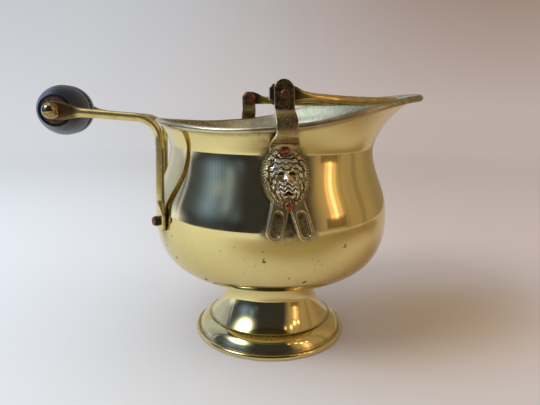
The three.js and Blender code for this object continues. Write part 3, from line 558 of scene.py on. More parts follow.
def ear_tarnish(x, z):
    """A band as wide as the ear and 2 to 3.4 mm more, and bells below it, between its tails and behind it."""
    beside, middle = np.abs(x - ear_x(z)), ear_x(z)
    oval = np.sqrt(np.clip(1 - ((z - MASK_Z) / (MASK_HALF_HEIGHT + 0.4)) ** 2, 0.12, 1))
    half = np.where(z > 103, STRAP_HALF + 0.2, MASK_HALF_WIDTH * oval)
    half = np.where(z < 79, 7.6 + 0.29 * (79 - z), half)
    band = smooth(beside, half + mix(2.0, 3.4, smooth(z, 74, 86)), half - 0.5) * smooth(z, 64.0, 68)
    below = bell(z, 64.5, 1.8) * bell(x, middle, 9)
    between_tails = bell(x, middle, 3.4) * smooth(z, 66, 71) * smooth(z, 82, 78)
    behind_strap = bell(x, middle - 7.5, 5.5) * bell(z, 104.5, 3.6)
    return 0.9 * band + 0.35 * below + between_tails + 0.55 * behind_strap


def pot_tarnish(points, outside, away):
    """The ears' tarnish on both sides, bells about the arm feet, and bands by height at the joint and rim."""
    x, y, z = np.moveaxis(points, -1, 0)
    top = rim_height(away)
    arms = bell(np.hypot(x - ARM_RIVET_X, np.abs(y) - ARM_RIVET_Y), 0, 5.0) * bell(z, ARM_RIVET_Z, 9)
    outer = ear_tarnish(x, z) * (np.abs(y) > 25) + 0.85 * smooth(z, 37.5, 34.6) + arms
    hem = 0.55 * smooth(away, 62, 30) * smooth(z, top - 2.3, top - 0.4)
    below_roll = 0.5 * bell(z, top - 1.9, 0.8)
    return np.clip(outer * outside + (hem + below_roll) * outside, 0, 1)


away = np.degrees(np.abs(np.arctan2(pot_points[..., 1], pot_points[..., 0])))
row = np.arange(len(pot_points))[:, None] + 0 * away
outside, inner_face = row < outer_rows, row >= outer_rows + ROLL_ROWS
on_bead = ~outside & ~inner_face
pot_x, pot_z = pot_points[..., 0], pot_points[..., 2]
tarnish = pot_tarnish(pot_points, outside, away)
tarnish = tarnish + 0.62 * on_bead * smooth(away, 75, 45) + 0.8 * inner_face * smooth(pot_x, -5, -30)
print("mean tarnish outside:", round(float(tarnish[outside].mean()), 3))

# %% [markdown]
# ### The pot as one piece
# The pot is one sheet, so it is one closed skin, with a point in the middle of its bottom inside and
# outside. All that its brass needs to know goes along as numbers on its points.

# %% Build the pot
pot_values = {
    "tarnish": tarnish,
    "pitted": smooth(pot_z, 66, 58) * outside,
    "inside": inner_face * (1 - 0.5 * smooth(pot_x, -8, -34)),
    "bead": 1.0 * on_bead,
}
pot_shell = shell(pot_points, poles=[[0, 0, BOTTOM_Z], [0, 0, BOTTOM_Z + SHEET]])
piece("spun_bowl", [pot_shell], bowl_brass, "scuttle", "bowl", ["bowl"], 60,
      {name: np.append(values.ravel(), [0, 0]) for name, values in pot_values.items()})

# %% [markdown]
# ## The foot
# The foot is one spun cone of sheet: a rolled edge to stand on, a sloping flange, a small step, and a
# hollow curve up to a narrow neck that opens again under the pot. It could be bevelled out of cones, but
# the curve between them is what catches the light. So it is one closed outline of [radius, height] points
# turned about the axis, with the inner face one sheet thickness in. Tarnish stays in the corner of the
# step, above the rolled edge and at the top.

# %% Build the foot
FOOT_SHEET, FOOT_ROLL, FOOT_RADIUS = 1.2, 1.3, 40.4
STEP_RADIUS, STEP_Z, STEP_LEDGE = 32.7, 8.9, 0.5
FOOT_NECK_RADIUS, FOOT_NECK_Z, FOOT_TOP_RADIUS = 23.4, 26.0, 25.8


def foot_outline():
    """The bead is part of a circle, the flange a line that swells by a sine, the cove a parabola, and the
    top flares by the square of its height."""
    turn = np.linspace(-np.pi / 3, 2 * np.pi / 3, 22)
    roll_x = FOOT_RADIUS - FOOT_ROLL
    roll = np.stack([roll_x + FOOT_ROLL * np.cos(turn),
                     FOOT_ROLL * (1 + np.sin(turn) / np.sin(np.pi / 3))], -1)
    t = np.linspace(0, 1, 26)[1:]
    swell = STEP_LEDGE * np.sin(np.pi * t)
    flange = np.stack([mix(roll[-1, 0], STEP_RADIUS, t) + swell, mix(roll[-1, 1], STEP_Z, t) + swell], -1)
    z = np.linspace(STEP_Z, FOOT_NECK_Z, 40)
    share = ((FOOT_NECK_Z - z) / (FOOT_NECK_Z - STEP_Z)) ** 2
    cove = np.stack([mix(FOOT_NECK_RADIUS, STEP_RADIUS - STEP_LEDGE, share), z], -1)
    t = np.linspace(0, 1, 16)[1:]
    flare = np.stack([mix(FOOT_NECK_RADIUS, FOOT_TOP_RADIUS, t * t), mix(FOOT_NECK_Z, BOTTOM_Z, t)], -1)
    outer = np.vstack([flange, cove, flare])
    inner = outer[-2::-1] - [FOOT_SHEET, FOOT_SHEET / 2]
    seat, top = [roll_x - FOOT_ROLL, 0], [FOOT_TOP_RADIUS - FOOT_SHEET, BOTTOM_Z]
    return np.vstack([[seat], roll, outer, [top], inner])


foot_points = turned(foot_outline(), 224)
foot_z = foot_points[..., 2]
foot_r = np.hypot(foot_points[..., 0], foot_points[..., 1])
at_step = 0.8 * bell(foot_z, STEP_Z + 0.2, 0.35) * (foot_r > STEP_RADIUS - 1.7)
at_edge = 0.7 * bell(foot_r, FOOT_RADIUS - 2.3, 0.4) * (foot_z > 1.5)
at_top = 0.9 * smooth(foot_z, 32.4, 33.6)
foot_dark = at_step + at_edge + at_top
piece("spun_foot", [shell(foot_points, wrap_rows=True)], foot_brass, "scuttle", "foot", ["foot"], 50,
      {"tarnish": np.clip(foot_dark, 0, 1).ravel()})

# %% [markdown]
# ## The ears
# Each ear is one flat casting in four parts. A strap stands up to the pivot, bends out over the rolled rim
# and comes down on the pot. There it widens into an oval lion mask, and two looped tails hang below it. It
# could be modelled flat and bent with a curve modifier, but then its back would not follow the pot. So all
# four parts are laid on the same curved base: a function takes a place across the ear, a height and a
# thickness, and gives the point on the pot.

# %% Sizes of an ear and even paths
EAR_PLATE, STRAP_Y, STRAP_BEND_Z, CREASE_Z = 1.5, 53.5, 117.4, 105.2
SHOULDER_REACH, SHOULDER_TOP_Z, SHOULDER_FOOT_Z = 1.9, 109.8, 103.8
BORDER_RISE, MASK_DOME = 0.7, 1.5
BASE_STEP, BASE_WINDOW = 0.1, 17
GAP = 0.3
EAR_TOP_RISES = {"left": 4.2, "right": 5.9}
EAR_RIVETS_Z = {"top": 101.8, "bottom": 79.3}


def pot_side(x, z):
    """Distance of the pot's outer face from the middle plane."""
    return np.sqrt(pot_radius(z) ** 2 - x * x)


def calmed(path, count):
    """A running mean of a path over count stations, weighted by a raised cosine."""
    window = np.hanning(count)
    window /= window.sum()
    padded = np.pad(path, ((count // 2, count // 2), (0, 0)), mode="edge")
    return np.stack([np.convolve(padded[:, k], window, "valid") for k in range(path.shape[1])], -1)


def stations(path, count=None, spacing=None):
    """The same path with its points an even distance apart along its length."""
    length = np.concatenate([[0], np.cumsum(np.linalg.norm(np.diff(path, axis=0), axis=1))])
    if spacing is not None:
        count = int(length[-1] / spacing) + 1
    s = np.linspace(0, length[-1], count)
    return np.stack([np.interp(s, length, path[:, k]) for k in range(path.shape[1])], -1)


def unit(v):
    """A vector over its own length."""
    return v / np.linalg.norm(v, axis=-1, keepdims=True)


print("the pot's side behind the mask:", np.round(pot_side(ear_x(MASK_Z), MASK_Z), 2), "mm")

# %% [markdown]
# ### The base that an ear lies on
# Seen from the front, an ear runs down in a straight line, out over the rim in two bends, and down the pot.
# So its inner face starts as a few corners and is then calmed. A curve with handles would round them too, but
# not by the same amount everywhere.

# %% The curved base of an ear


def ear_base():
    """Heights from high to low with the inner face's distance from the middle plane and its normal. The
    straight path of the bends is rounded by a running mean over 1.6 mm."""
    roll_z = float(rim_height(np.array([90.0]))[0])
    reach = float(pot_radius(roll_z)) + 2 * ROLL_RADIUS - SHEET
    low = np.linspace(CREASE_Z - 2.2, 60, 60)
    path = np.array([[STRAP_Y, PIVOT_Z + 8], [STRAP_Y, STRAP_BEND_Z + 1], [STRAP_Y + 0.6, STRAP_BEND_Z - 0.9],
                     [reach - 0.4, roll_z + 1.6], [reach + GAP, roll_z], [reach + GAP, roll_z - 1.8],
                     [reach - 0.7, roll_z - 3.2], [float(pot_radius(CREASE_Z)) + 2 * GAP, CREASE_Z]])
    path = np.vstack([path, np.stack([pot_side(ear_x(low), low) + GAP, low], -1)])
    dense = calmed(stations(path, spacing=BASE_STEP), BASE_WINDOW)
    slope = unit(np.gradient(dense, axis=0))
    return dense[:, 1], dense[:, 0], -slope[:, 1], slope[:, 0]


BASE_Z, BASE_Y, BASE_OUT, BASE_UP = ear_base()


def on_ear(across, z, height):
    """The point at a place across and up the ear, a height above its inner face. Under the crease the base
    bends round the pot, above it it is flat."""
    base_y, out, up = (np.interp(-z, -BASE_Z, values) for values in (BASE_Y, BASE_OUT, BASE_UP))
    x = ear_x(z)
    lies = 1 - smooth(z, CREASE_Z - 2.2, CREASE_Z)
    bend = pot_side(x + across, np.minimum(z, CREASE_Z)) - pot_side(x, np.minimum(z, CREASE_Z))
    return np.stack([x + across + 0 * height, base_y + lies * bend + height * out, z + height * up], -1)


print("ear base from z =", round(BASE_Z[0], 1), "down to", round(BASE_Z[-1], 1))

# %% [markdown]
# ### The lion's mane
# The mane is parted above the forehead and flows out and down on both sides in wavy locks. A noise would
# give curls without any direction, so the relief is laid out along the strands: one number runs across them
# and one along them, and each lock is a long flame with finer strands in it.

# %% The mane
LOCK_WIDTH, LOCK_LENGTH, LOCK_DRIFT = 2.1, 9.0, 2.6
FACE_MIDDLE, FACE_HALF_WIDTH, FOREHEAD, CHIN = -3.0, 4.5, 5.4, 6.3


def mane(x, y):
    """Height of the locks, and the distance from the face's middle, which is 1 on its border. Across the
    strands runs that distance, less a drift with the angle from the parting, so that each strand moves out as
    it goes down, plus a sine wave along it. That number over the lock's width has a whole part, which lock it
    is, and a rest, where in the lock a place lies."""
    up = y - FACE_MIDDLE
    face = np.hypot(x / FACE_HALF_WIDTH, up / np.where(up > 0, FOREHEAD, CHIN))
    theta = np.arctan2(np.abs(x) / 4.2, up / 5.2)
    reach = (face - 1) * 4.9
    along = theta * (4.6 + 0.75 * reach)
    wave = 0.30 * np.sin(1.9 * along + 0.8 * reach)
    across = (reach - LOCK_DRIFT * theta + wave) / LOCK_WIDTH + 20
    lock = np.floor(across)
    part = np.mod((along + 2.3 * lock) / LOCK_LENGTH, 1.0)
    width = 1.0 - 0.5 * part**3
    q = 2 * np.mod(across, 1.0) - 1
    body = np.clip(1 - np.abs(q / width) ** 2.4, 0, 1) ** 0.7
    body = body * smooth(part, 0.0, 0.16) * smooth(part, 1.0, 0.86)
    strands = 0.17 * np.cos(3 * np.pi * q)
    height = (0.66 + 0.12 * np.sin(1.7 * lock + 0.9 * along) + strands) * body
    return height * smooth(face, 0.93, 1.05), face


print("height of the mane 8 mm above the middle:", np.round(mane(0.0, 8.0)[0], 2), "mm")

# %% [markdown]
# ### The lion's face
# The face sits low on the oval, with its chin just over the lower rivet. Its features are soft bells: slanted
# brows, sunk eyes beside the bridge of the nose, whisker pads with wavy folds and a round lower lip. The oval
# has a raised border with fine ticks inside it, and it lies flat where a rivet goes through.

# %% Relief of the mask


def face_relief(x, y):
    """Bells for the features of the face, in millimetres. |x| makes both halves alike."""
    a = np.abs(x)
    brow = 0.75 * bell(y - 1.0 - 0.45 * a, 0, 0.45) * smooth(a, 4.1, 3.0) * smooth(a, 0.2, 0.9)
    socket = -0.9 * bell(a, 2.2, 1.0) * bell(y, 0.55, 0.55)
    eye = 0.7 * bell(a, 2.2, 0.48) * bell(y, 0.5, 0.36)
    bridge = 0.6 * bell(x, 0, 0.75 - 0.12 * np.clip(y, -3, 1)) * smooth(y, -2.6, -1.8) * smooth(y, 2.4, 1.0)
    nose = 0.5 * bell(x, 0, 1.3) * bell(y, -1.8, 0.65) - 0.6 * bell(a, 0.85, 0.3) * bell(y, -2.3, 0.28)
    pads = 0.5 * bell(a, 2.0, 1.8) * bell(y, -4.6, 2.0)
    wave = 0.55 * np.cos(2.0 * a) - 0.03 * a * a
    crests = (wave - 3.3, wave - 5.05, wave - 6.6)
    folds = sum(0.62 * bell(y, crest, 0.42) - 0.34 * bell(y, crest - 0.88, 0.34) for crest in crests)
    folds = folds * smooth(a, 4.3, 3.5)
    mouth = -0.45 * bell(y, -7.5 + 0.25 * np.cos(2.0 * a), 0.3) * smooth(a, 2.7, 1.8)
    lip = 0.65 * bell(np.hypot(x / 3.3, (y + 5.6) / 3.1), 1, 0.13) * smooth(y, -5.4, -6.8)
    cheek = 0.35 * bell(a, 3.7, 0.7) * bell(y, -1.4, 1.1)
    return brow + socket + eye + bridge + nose + pads + folds + mouth + lip + cheek


def mask_relief(across, z):
    """Height above the plate, and how far each point stands out from what is round it, with painted glints
    added. The height is a domed oval, a head on it, then locks, features and ticks, and the border. The upper
    locks on the side away from the lip get a painted glint: they count as standing out more, so they come out
    brighter."""
    x, y = across, z - MASK_Z
    u, v = x / MASK_HALF_WIDTH, y / MASK_HALF_HEIGHT
    rho = np.hypot(u, v)
    dome = MASK_DOME * np.clip(1 - rho**2, 0, 1) ** 0.8
    locks, face = mane(x, y)
    locks = locks * mix(1, 1.45, smooth(y, -1, 3))
    features = face_relief(x, y) * smooth(face, 1.12, 0.96)
    head = 0.6 * np.clip(1 - (face / 1.15) ** 2, 0, 1) ** 0.8
    bearing = np.arctan2(v, u)
    rim = 0.45 * BORDER_RISE * smooth(rho, 0.92, 0.95) * smooth(rho, 1.0, 0.975)
    lean = np.sign(x) * 16 * (rho - 0.88)
    ticks = 0.45 * np.abs(np.cos(31 * bearing + lean)) ** 1.3
    ticks = ticks * smooth(rho, 0.81, 0.85) * smooth(rho, 0.97, 0.93)
    quiet = 1.0
    for rivet_z in EAR_RIVETS_Z.values():
        quiet = quiet * smooth(np.hypot(x, z - rivet_z), 2.1, 3.0)
    calm = quiet * (1 - smooth(y, 9.8, 12.0) * smooth(np.abs(x), 6.4, 5.0))
    fine = (locks * smooth(rho, 0.87, 0.81) + features + ticks * smooth(y, 13.2, 11.5)) * calm
    stands_and_glints = np.where(face < 1, features - 0.10, fine - 0.34)
    # Painted glints: the upper locks on the side away from the lip are raised in level so they come out
    # bright.
    wear_and_glints = smooth(x, 1.0, -4.0) * smooth(y, -1.5, 2.5) * smooth(rho, 0.9, 0.75)
    stands_and_glints = stands_and_glints + 0.42 * wear_and_glints * smooth(fine, 0.3, 0.8)
    return (dome + head) * mix(0.5, 1, quiet) + fine + rim * calm, mix(-0.16, stands_and_glints, calm)


print("relief in the middle of the muzzle:", np.round(mask_relief(0.0, 85.7)[0], 2), "mm")

# %% [markdown]
# ### The mask as a closed skin
# The mask is a polar grid, so its oval edge is exact and its points are closest where the relief is. A square
# grid cut to an oval would have a stepped edge. Each point gets a number that says how worn it is, with
# painted glints added on the upper locks: above 0 on edges and crests, and below 0 in hollows.

# %% Mask
MASK_COLUMNS, MASK_BACK_ROWS = 440, 12


def on_oval(rho, angle, height):
    """A point of the ear at the share rho of the way from the middle of the mask to its edge."""
    across, z = MASK_HALF_WIDTH * rho * np.cos(angle), MASK_Z + MASK_HALF_HEIGHT * rho * np.sin(angle)
    return on_ear(across, z, height + 0 * across)


def mask_skin():
    """The relief over the oval, an edge as thick as the plate, and a flat back."""
    rho = np.concatenate([np.linspace(0.01, 0.9, 118), np.linspace(0.9, 0.995, 16)[1:]])[:, None]
    angle = np.linspace(0, 2 * np.pi, MASK_COLUMNS, endpoint=False)[None, :]
    across, z = MASK_HALF_WIDTH * rho * np.cos(angle), MASK_Z + MASK_HALF_HEIGHT * rho * np.sin(angle)
    relief, stands_and_glints = mask_relief(across, z)
    edge = [on_oval(1.0, angle, height) for height in (EAR_PLATE, EAR_PLATE * 0.6, 0.25, 0.0)]
    back = on_oval(np.linspace(0.93, 0.05, MASK_BACK_ROWS)[:, None], angle, 0.0)
    points = np.vstack([on_ear(across, z, EAR_PLATE + relief), *edge, back])
    worn_and_lit = np.vstack([stands_and_glints * 0.9, np.full((len(edge) + MASK_BACK_ROWS, MASK_COLUMNS), -0.05)])
    poles = [on_ear(0.0, MASK_Z, height) for height in (EAR_PLATE + mask_relief(0.0, MASK_Z)[0], 0.0)]
    return shell(points, poles=poles), np.concatenate([worn_and_lit.ravel(), [0.5, 0]])


mask, mask_worn_and_lit = mask_skin()
print("points of the mask:", len(mask[0]))

# %% [markdown]
# ### The strap
# The strap is a strip whose cross-section is a superellipse, and it narrows to a round top. A box with
# bevelled edges would do for its straight part, but not where it bends over the rim. Its skin runs on under
# the mask.

# %% Strap
STRAP_SQUARENESS = 5.5


def strap_wear_and_highlights(z, sideways, height):
    """Bright edges, worn bright, with a painted highlight that makes them brighter on the side away from the
    lip, and on the front a dark top, a painted highlight on the upper bend, a dark hollow under it, and a
    dark crease over the mask."""
    # Painted highlight: the edges on the side away from the lip are made brighter than the others.
    edge = smooth(np.abs(sideways), 0.90, 1.0) * (height > 0.2) * np.where(sideways < 0, 1.0, 0.45)
    edge = 0.6 * edge * mix(0.3, 1, smooth(z, 105, 109))
    top = -0.33 * smooth(z, 116.3, 117.0) + 0.2 * bell(z, 117.0, 0.35)
    # Painted highlight: the bright bell at 108.4 mm lights the upper bend.
    bend = -0.32 * bell(z, 113.0, 3.2) + 0.14 * bell(z, 108.4, 1.2)
    crease = -0.35 * bell(z, CREASE_Z + 0.2, 0.7) - 0.26 * smooth(z, CREASE_Z, CREASE_Z - 1)
    return edge + (top + bend + crease) * (height > 1)


def strap_skin(rise):
    """A superellipse across the strap at each height, as wide as a half circle at the top, and widening by a
    soft step into the shoulders of the mask."""
    top = PIVOT_Z + rise
    round_top = STRAP_HALF * (1 - np.cos(np.linspace(0.08, np.pi / 2, 18)))
    fall = np.concatenate([round_top, np.linspace(STRAP_HALF, top - 98, 150)[1:]])[:, None]
    z = top - fall
    half = STRAP_HALF * np.sqrt(np.clip(1 - np.clip(1 - fall / STRAP_HALF, 0, 1) ** 2, 0, 1))
    half = half + 0.32 * smooth(z, 118, 114) + SHOULDER_REACH * smooth(z, SHOULDER_TOP_Z, SHOULDER_FOOT_Z)
    angle = np.linspace(0, 2 * np.pi, 56, endpoint=False)[None, :]
    across = half * signed_power(np.cos(angle), 2 / STRAP_SQUARENESS)
    height = EAR_PLATE / 2 * (1 + signed_power(np.sin(angle), 2 / STRAP_SQUARENESS))
    groove = 0.28 * bell(z, CREASE_Z - 0.2, 0.32) * (height > EAR_PLATE / 2)
    points = on_ear(across, z + 0 * across, height - groove)
    worn_and_lit = strap_wear_and_highlights(z, across / half, height)
    ends = [on_ear(0.0, end, EAR_PLATE / 2) for end in (top, z[-1, 0])]
    return shell(points, poles=ends), np.concatenate([worn_and_lit.ravel(), [0.6, 0]])


straps = {side: strap_skin(rise) for side, rise in EAR_TOP_RISES.items()}
print("points of a strap:", len(straps["left"][0][0]))

# %% [markdown]
# ### The tails
# Each tail is a capsule: every point of its outline is joined to the nearest point of its spine, and the
# height follows the distance from the edge, as a raised bead round a sunk middle. Two overlapping skins of
# one casting need no join, because both are closed and wear the same finish.

# %% Tails
TAIL_HALF, TAIL_TOP_OFFSET, TAIL_TOP_Z, TAIL_FOOT_OFFSET = 3.8, 3.4, 79.5, 6.5
SLOT_HALF, SLOT_TOP, SLOT_FOOT = 1.9, 0.42, 0.95
TAIL_OUTER_EDGE, SLOT_FLOOR, TAIL_BACK_ROWS = 1.35, 0.85, 8


def tail_skin(side):
    """Rings from the spine to the outline. The height mixes an outer edge, the bead's crest and the floor of
    the slot by soft steps of the distances from the outline and from the slot's border."""
    spine_top = np.array([side * TAIL_TOP_OFFSET, TAIL_TOP_Z])
    spine_low = np.array([side * TAIL_FOOT_OFFSET, TAIL_FOOT_Z])
    down = spine_low - spine_top
    heading = np.arctan2(down[1], down[0])
    cap = np.linspace(-np.pi / 2, np.pi / 2, 30)
    run = np.linspace(0, 1, 30)[1:-1, None]
    half_circle = TAIL_HALF * np.stack([np.cos(heading + cap), np.sin(heading + cap)], -1)
    low_cap, top_cap = spine_low + half_circle, spine_top - half_circle
    sides = mix(low_cap[-1], top_cap[0], run), mix(top_cap[-1], low_cap[0], run)
    outline = np.vstack([low_cap, sides[0], top_cap, sides[1]])
    share = np.clip(((outline - spine_top) @ down) / (down @ down), 0, 1)[:, None]
    spine = spine_top + share * down
    rho = np.concatenate([np.linspace(0.02, 0.97, 44), [0.995]])[:, None, None]
    spot = spine + rho * (outline - spine)
    inset = (1 - rho[..., 0]) * TAIL_HALF + 0 * spot[..., 0]
    slot_share = np.clip(((spot - spine_top) @ down) / (down @ down), SLOT_TOP, SLOT_FOOT)[..., None]
    beyond = np.linalg.norm(spot - spine_top - slot_share * down, axis=-1) - SLOT_HALF
    sunk = smooth(beyond, 0.42, -0.42)
    crest = mix(TAIL_OUTER_EDGE, EAR_PLATE + BORDER_RISE, smooth(inset, 0.0, 0.9))
    front = on_ear(spot[..., 0], spot[..., 1], mix(crest, SLOT_FLOOR, sunk))
    rim = outline[None]
    edge = [on_ear(rim[..., 0], rim[..., 1], height + 0 * rim[..., 0]) for height in (1.1, 0.5, 0.0)]
    back_spot = spine + np.linspace(0.9, 0.03, TAIL_BACK_ROWS)[:, None, None] * (outline - spine)
    back = on_ear(back_spot[..., 0], back_spot[..., 1], 0 * back_spot[..., 0])
    lip = 0.7 * bell(beyond, 0.42, 0.16) + 0.5 * bell(inset, 0.6, 0.25)
    worn_and_lit = 0.04 + 0.36 * lip - 0.30 * smooth(beyond, 0.0, -0.5)
    worn_and_lit = np.vstack([worn_and_lit, np.zeros((len(edge) + TAIL_BACK_ROWS, len(outline)))])
    poles = [on_ear(*(spine_top + spine_low) / 2, height) for height in (SLOT_FLOOR, 0.0)]
    return shell(np.vstack([front, *edge, back]), poles=poles), np.concatenate([worn_and_lit.ravel(), [-0.3, 0]])


tails = [tail_skin(side) for side in (1, -1)]
print("points of a tail:", len(tails[0][0][0]))

# %% [markdown]
# ### Darkened cast brass
# The ears are never buffed down to the ground: brown patina stays in every hollow, and the high spots and
# edges are rubbed bright. The mesh carries that as a number on each point, above 0 on what stands out and
# below 0 in hollows, with painted highlights added on some edges, on the strap's bend and on the upper locks
# of the mane. The material mixes dark brown, old brass, bright metal and, on what stands out most, a painted
# silvery highlight, and a fine noise breaks up the border between them. Ambient occlusion would find the
# hollows by itself, but it would be worked out anew for every picture and darken flat places too.

# %% The cast brass of the ears


def cast_brass():
    """Four colours after each other along the level, which is the wear with its painted highlights plus a
    fine grain, the last colour a painted silvery highlight, with dark specks.
    """
    r = Recipe("cast_brass", (0.30, 0.24, 0.12), 0.96, 0.4)
    worn_and_lit = r.attribute("worn_and_lit")
    grain = r.noise(900, 5, 0.6)
    speck = r.noise(2000, 3, 0.6)
    level = r.plus(worn_and_lit, r.times(r.math("SUBTRACT", grain, 0.5), 0.45))
    body = r.blend(r.remap(r.noise(150, 3, 0.6), 0.35, 0.65), (0.36, 0.245, 0.095), (0.54, 0.42, 0.19))
    dark = r.blend(r.remap(level, -0.42, -0.10), (0.040, 0.026, 0.013), body)
    bright = r.blend(r.remap(level, 0.04, 0.38), dark, (0.88, 0.76, 0.46))
    # Painted highlight: what stands out most turns silvery white.
    silvery_highlight = r.blend(r.remap(level, 0.42, 0.72), bright, (0.95, 0.94, 0.88))
    r.color(r.blend(r.remap(speck, 0.57, 0.66, 0.0, 0.7), silvery_highlight, (0.04, 0.03, 0.018)))
    r.roughness(r.remap(level, -0.2, 0.4, 0.40, 0.17))
    soft = r.relief(grain, 0.00007)
    r.relief(speck, 0.00003, under=soft)
    return r.material


ear_brass = cast_brass()
for side in ("left", "right"):
    strap, strap_worn_and_lit = straps[side]
    worn_and_lit = np.concatenate([mask_worn_and_lit, strap_worn_and_lit, tails[0][1], tails[1][1]])
    side_piece(side, "cast_ear", [mask, strap, tails[0][0], tails[1][0]], ear_brass, "ear", "ear", 75,
               {"worn_and_lit": worn_and_lit})

# %% [markdown]
# ## Rods swept along a path
# The bail and the rear arms are round rods whose ends are hammered flat. A bevelled curve keeps one
# cross-section all along, so instead one function lays a superellipse between two directions, wide and
# thin, at each station of a path. Power 2 is an ellipse, and a higher power is a flat strip with rounded
# edges.

# %% Sweep a bar
BAR_SIDES = 28


def swept(at, wide, thin, half_wide, half_thin, power):
    """at + wide * half_wide * c^(2/power) + thin * half_thin * s^(2/power), with the signs of c and s."""
    angle = 2 * np.pi * (np.arange(BAR_SIDES) + 0.5) / BAR_SIDES
    c, s = np.cos(angle)[None, :, None], np.sin(angle)[None, :, None]
    p = 2 / power[:, None, None]
    points = (at[:, None] + wide[:, None] * half_wide[:, None, None] * signed_power(c, p)
              + thin[:, None] * half_thin[:, None, None] * signed_power(s, p))
    return shell(points, poles=[at[0], at[-1]])


def along_bar(values, ends):
    """One number for each point of a swept bar, from one for each station and one for each of its ends."""
    return np.concatenate([np.repeat(values, BAR_SIDES), ends])


print("a swept bar has", BAR_SIDES, "sides")

# %% [markdown]
# ### Drawn brass
# A rod is drawn smooth and keeps its shine, but its hammered ends are olive brown and dented. The number
# called forged, 1 on what was hammered, mixes the two.

# %% The brass of the rods


def rod_brass(name, color, shade, hammered, roughness):
    """Color and shade in clouds where the attribute forged is 0, hammered and a darker shade of it where it
    is 1, with dirt in small spots over both."""
    r = Recipe(name, color, 0.9, roughness)
    forged = r.attribute("forged")
    cloud = r.noise(240, 4, 0.6)
    clean = r.blend(r.remap(cloud, 0.35, 0.7), color, shade)
    dirt = r.remap(r.noise(900, 4, 0.6), 0.60, 0.76, 0.0, 0.4)
    dull = r.blend(r.remap(cloud, 0.3, 0.7), hammered, tuple(c * 0.6 for c in hammered))
    mixed = r.blend(r.remap(forged, 0.05, 0.6), clean, dull)
    r.color(r.blend(dirt, mixed, tuple(c * 0.4 for c in color)))
    r.roughness(r.plus(r.remap(cloud, 0.3, 0.7, roughness - 0.04, roughness + 0.05), r.times(forged, 0.07)))
    soft = r.relief(r.noise(200, 2, 0.5), 0.00006)
    r.relief(r.noise(2400, 2, 0.5), 0.000003, under=soft)
    return r.material


bail_brass = rod_brass("bail_brass", (0.60, 0.42, 0.13), (0.44, 0.28, 0.075), (0.13, 0.088, 0.04), 0.11)
arm_brass = rod_brass("arm_brass", (0.74, 0.60, 0.25), (0.62, 0.46, 0.16), (0.20, 0.125, 0.05), 0.22)
print("made", bail_brass.name, "and", arm_brass.name)

# %% [markdown]
# ## The bail
# At rest the bail lies forward on the inside of the lip. In plan it is a pointed arch, a superellipse of
# power 1.8, and it sags a little between its pivots and the lip. The left end is a round eye, the right end
# is cut square with clipped corners, as a file would leave it. It could be drawn as a curve by eye, but it
# has to clear the lip by the same gap all the way, so its height there is worked out from the lip.

# %% Build the bail
ROD = 2.0
BAIL_REACH, BAIL_POINTEDNESS, BAIL_SAG = 68.5, 1.8, 1.7
BAIL_EYE_HALF, BAIL_EYE_THICKNESS, BAIL_TAPER = 4.1, 2.4, 13.6
BAIL_TAILS = {1: 4.1, -1: 5.6}
PIVOT_INNER_HEAD = 3.7
STRAIGHT = PIVOT_INNER_HEAD + 2 * GAP


def rest_height(radius):
    """Lowest height of the rod's middle that clears the lip's inner face by the gap."""
    z = np.linspace(NECK_Z, LIP_TIP_Z, 400)
    out, up = pot_normal(z)
    r, height = pot_radius(z) - SHEET * out, z - SHEET * up
    clear = ROD + GAP
    near = np.abs(r - radius) < clear
    return float((height[near] + np.sqrt(clear**2 - (r[near] - radius) ** 2)).max())


def bail_skin():
    """A superellipse arch in plan whose height falls with its reach and sags by 4 u (1 - u), with a straight
    piece through each pivot. Around it goes a round rod that flattens towards the pivots by the square of
    the distance, with two sine waves in its width as hammer dents."""
    half_span = STRAP_Y - GAP - BAIL_EYE_THICKNESS / 2
    drop = PIVOT_Z - rest_height(PIVOT_X + BAIL_REACH)
    angle = np.linspace(np.pi / 2, -np.pi / 2, 600)[1:-1]
    u = np.cos(angle) ** (2 / BAIL_POINTEDNESS)
    side = signed_power(np.sin(angle), 2 / BAIL_POINTEDNESS)
    arch = np.stack([PIVOT_X + BAIL_REACH * u, half_span * side,
                     PIVOT_Z - drop * u - 4 * BAIL_SAG * u * (1 - u)], -1)
    arch = arch[arch[:, 0] > PIVOT_X + 1.5 * STRAIGHT]
    ends = [np.array([[PIVOT_X - BAIL_TAILS[s], s * half_span, PIVOT_Z],
                      [PIVOT_X + STRAIGHT, s * half_span, PIVOT_Z]]) for s in (1, -1)]
    path = stations(np.vstack([ends[0], arch, ends[1][::-1]]), spacing=0.35)
    calm = calmed(path, 13)
    calm[0], calm[-1] = path[0], path[-1]
    along = unit(np.gradient(calm, axis=0))
    thin = unit(np.cross(along, [0, 0, 1]))
    wide = unit(np.cross(thin, along))
    ahead = calm[:, 0] - PIVOT_X
    flat, flatter = ((1 - np.clip((ahead - start) / (BAIL_TAPER - start), 0, 1)) ** 2
                     for start in (STRAIGHT / 2, STRAIGHT))
    left = calm[:, 1] > 0
    behind = np.clip(-ahead, 0, None)
    rounded = np.sqrt(np.clip(1 - (behind / BAIL_TAILS[1]) ** 2, 0.03, 1))
    clipped = mix(1, 0.62, smooth(behind, 0.72 * BAIL_TAILS[-1], BAIL_TAILS[-1]))
    share = np.where(ahead < 0, np.where(left, rounded, clipped), 1)
    dents = 0.012 * np.sin(ahead * 0.9 + calm[:, 1] * 0.31) + 0.008 * np.sin(ahead * 2.3 - calm[:, 1] * 0.7)
    half_wide = mix(ROD, BAIL_EYE_HALF, flat) * share * (1 + dents)
    half_thin = mix(ROD, BAIL_EYE_THICKNESS / 2, flatter)
    return swept(calm, wide, thin, half_wide, half_thin, mix(2, 4.5, flat)), along_bar(flat, [1, 1])


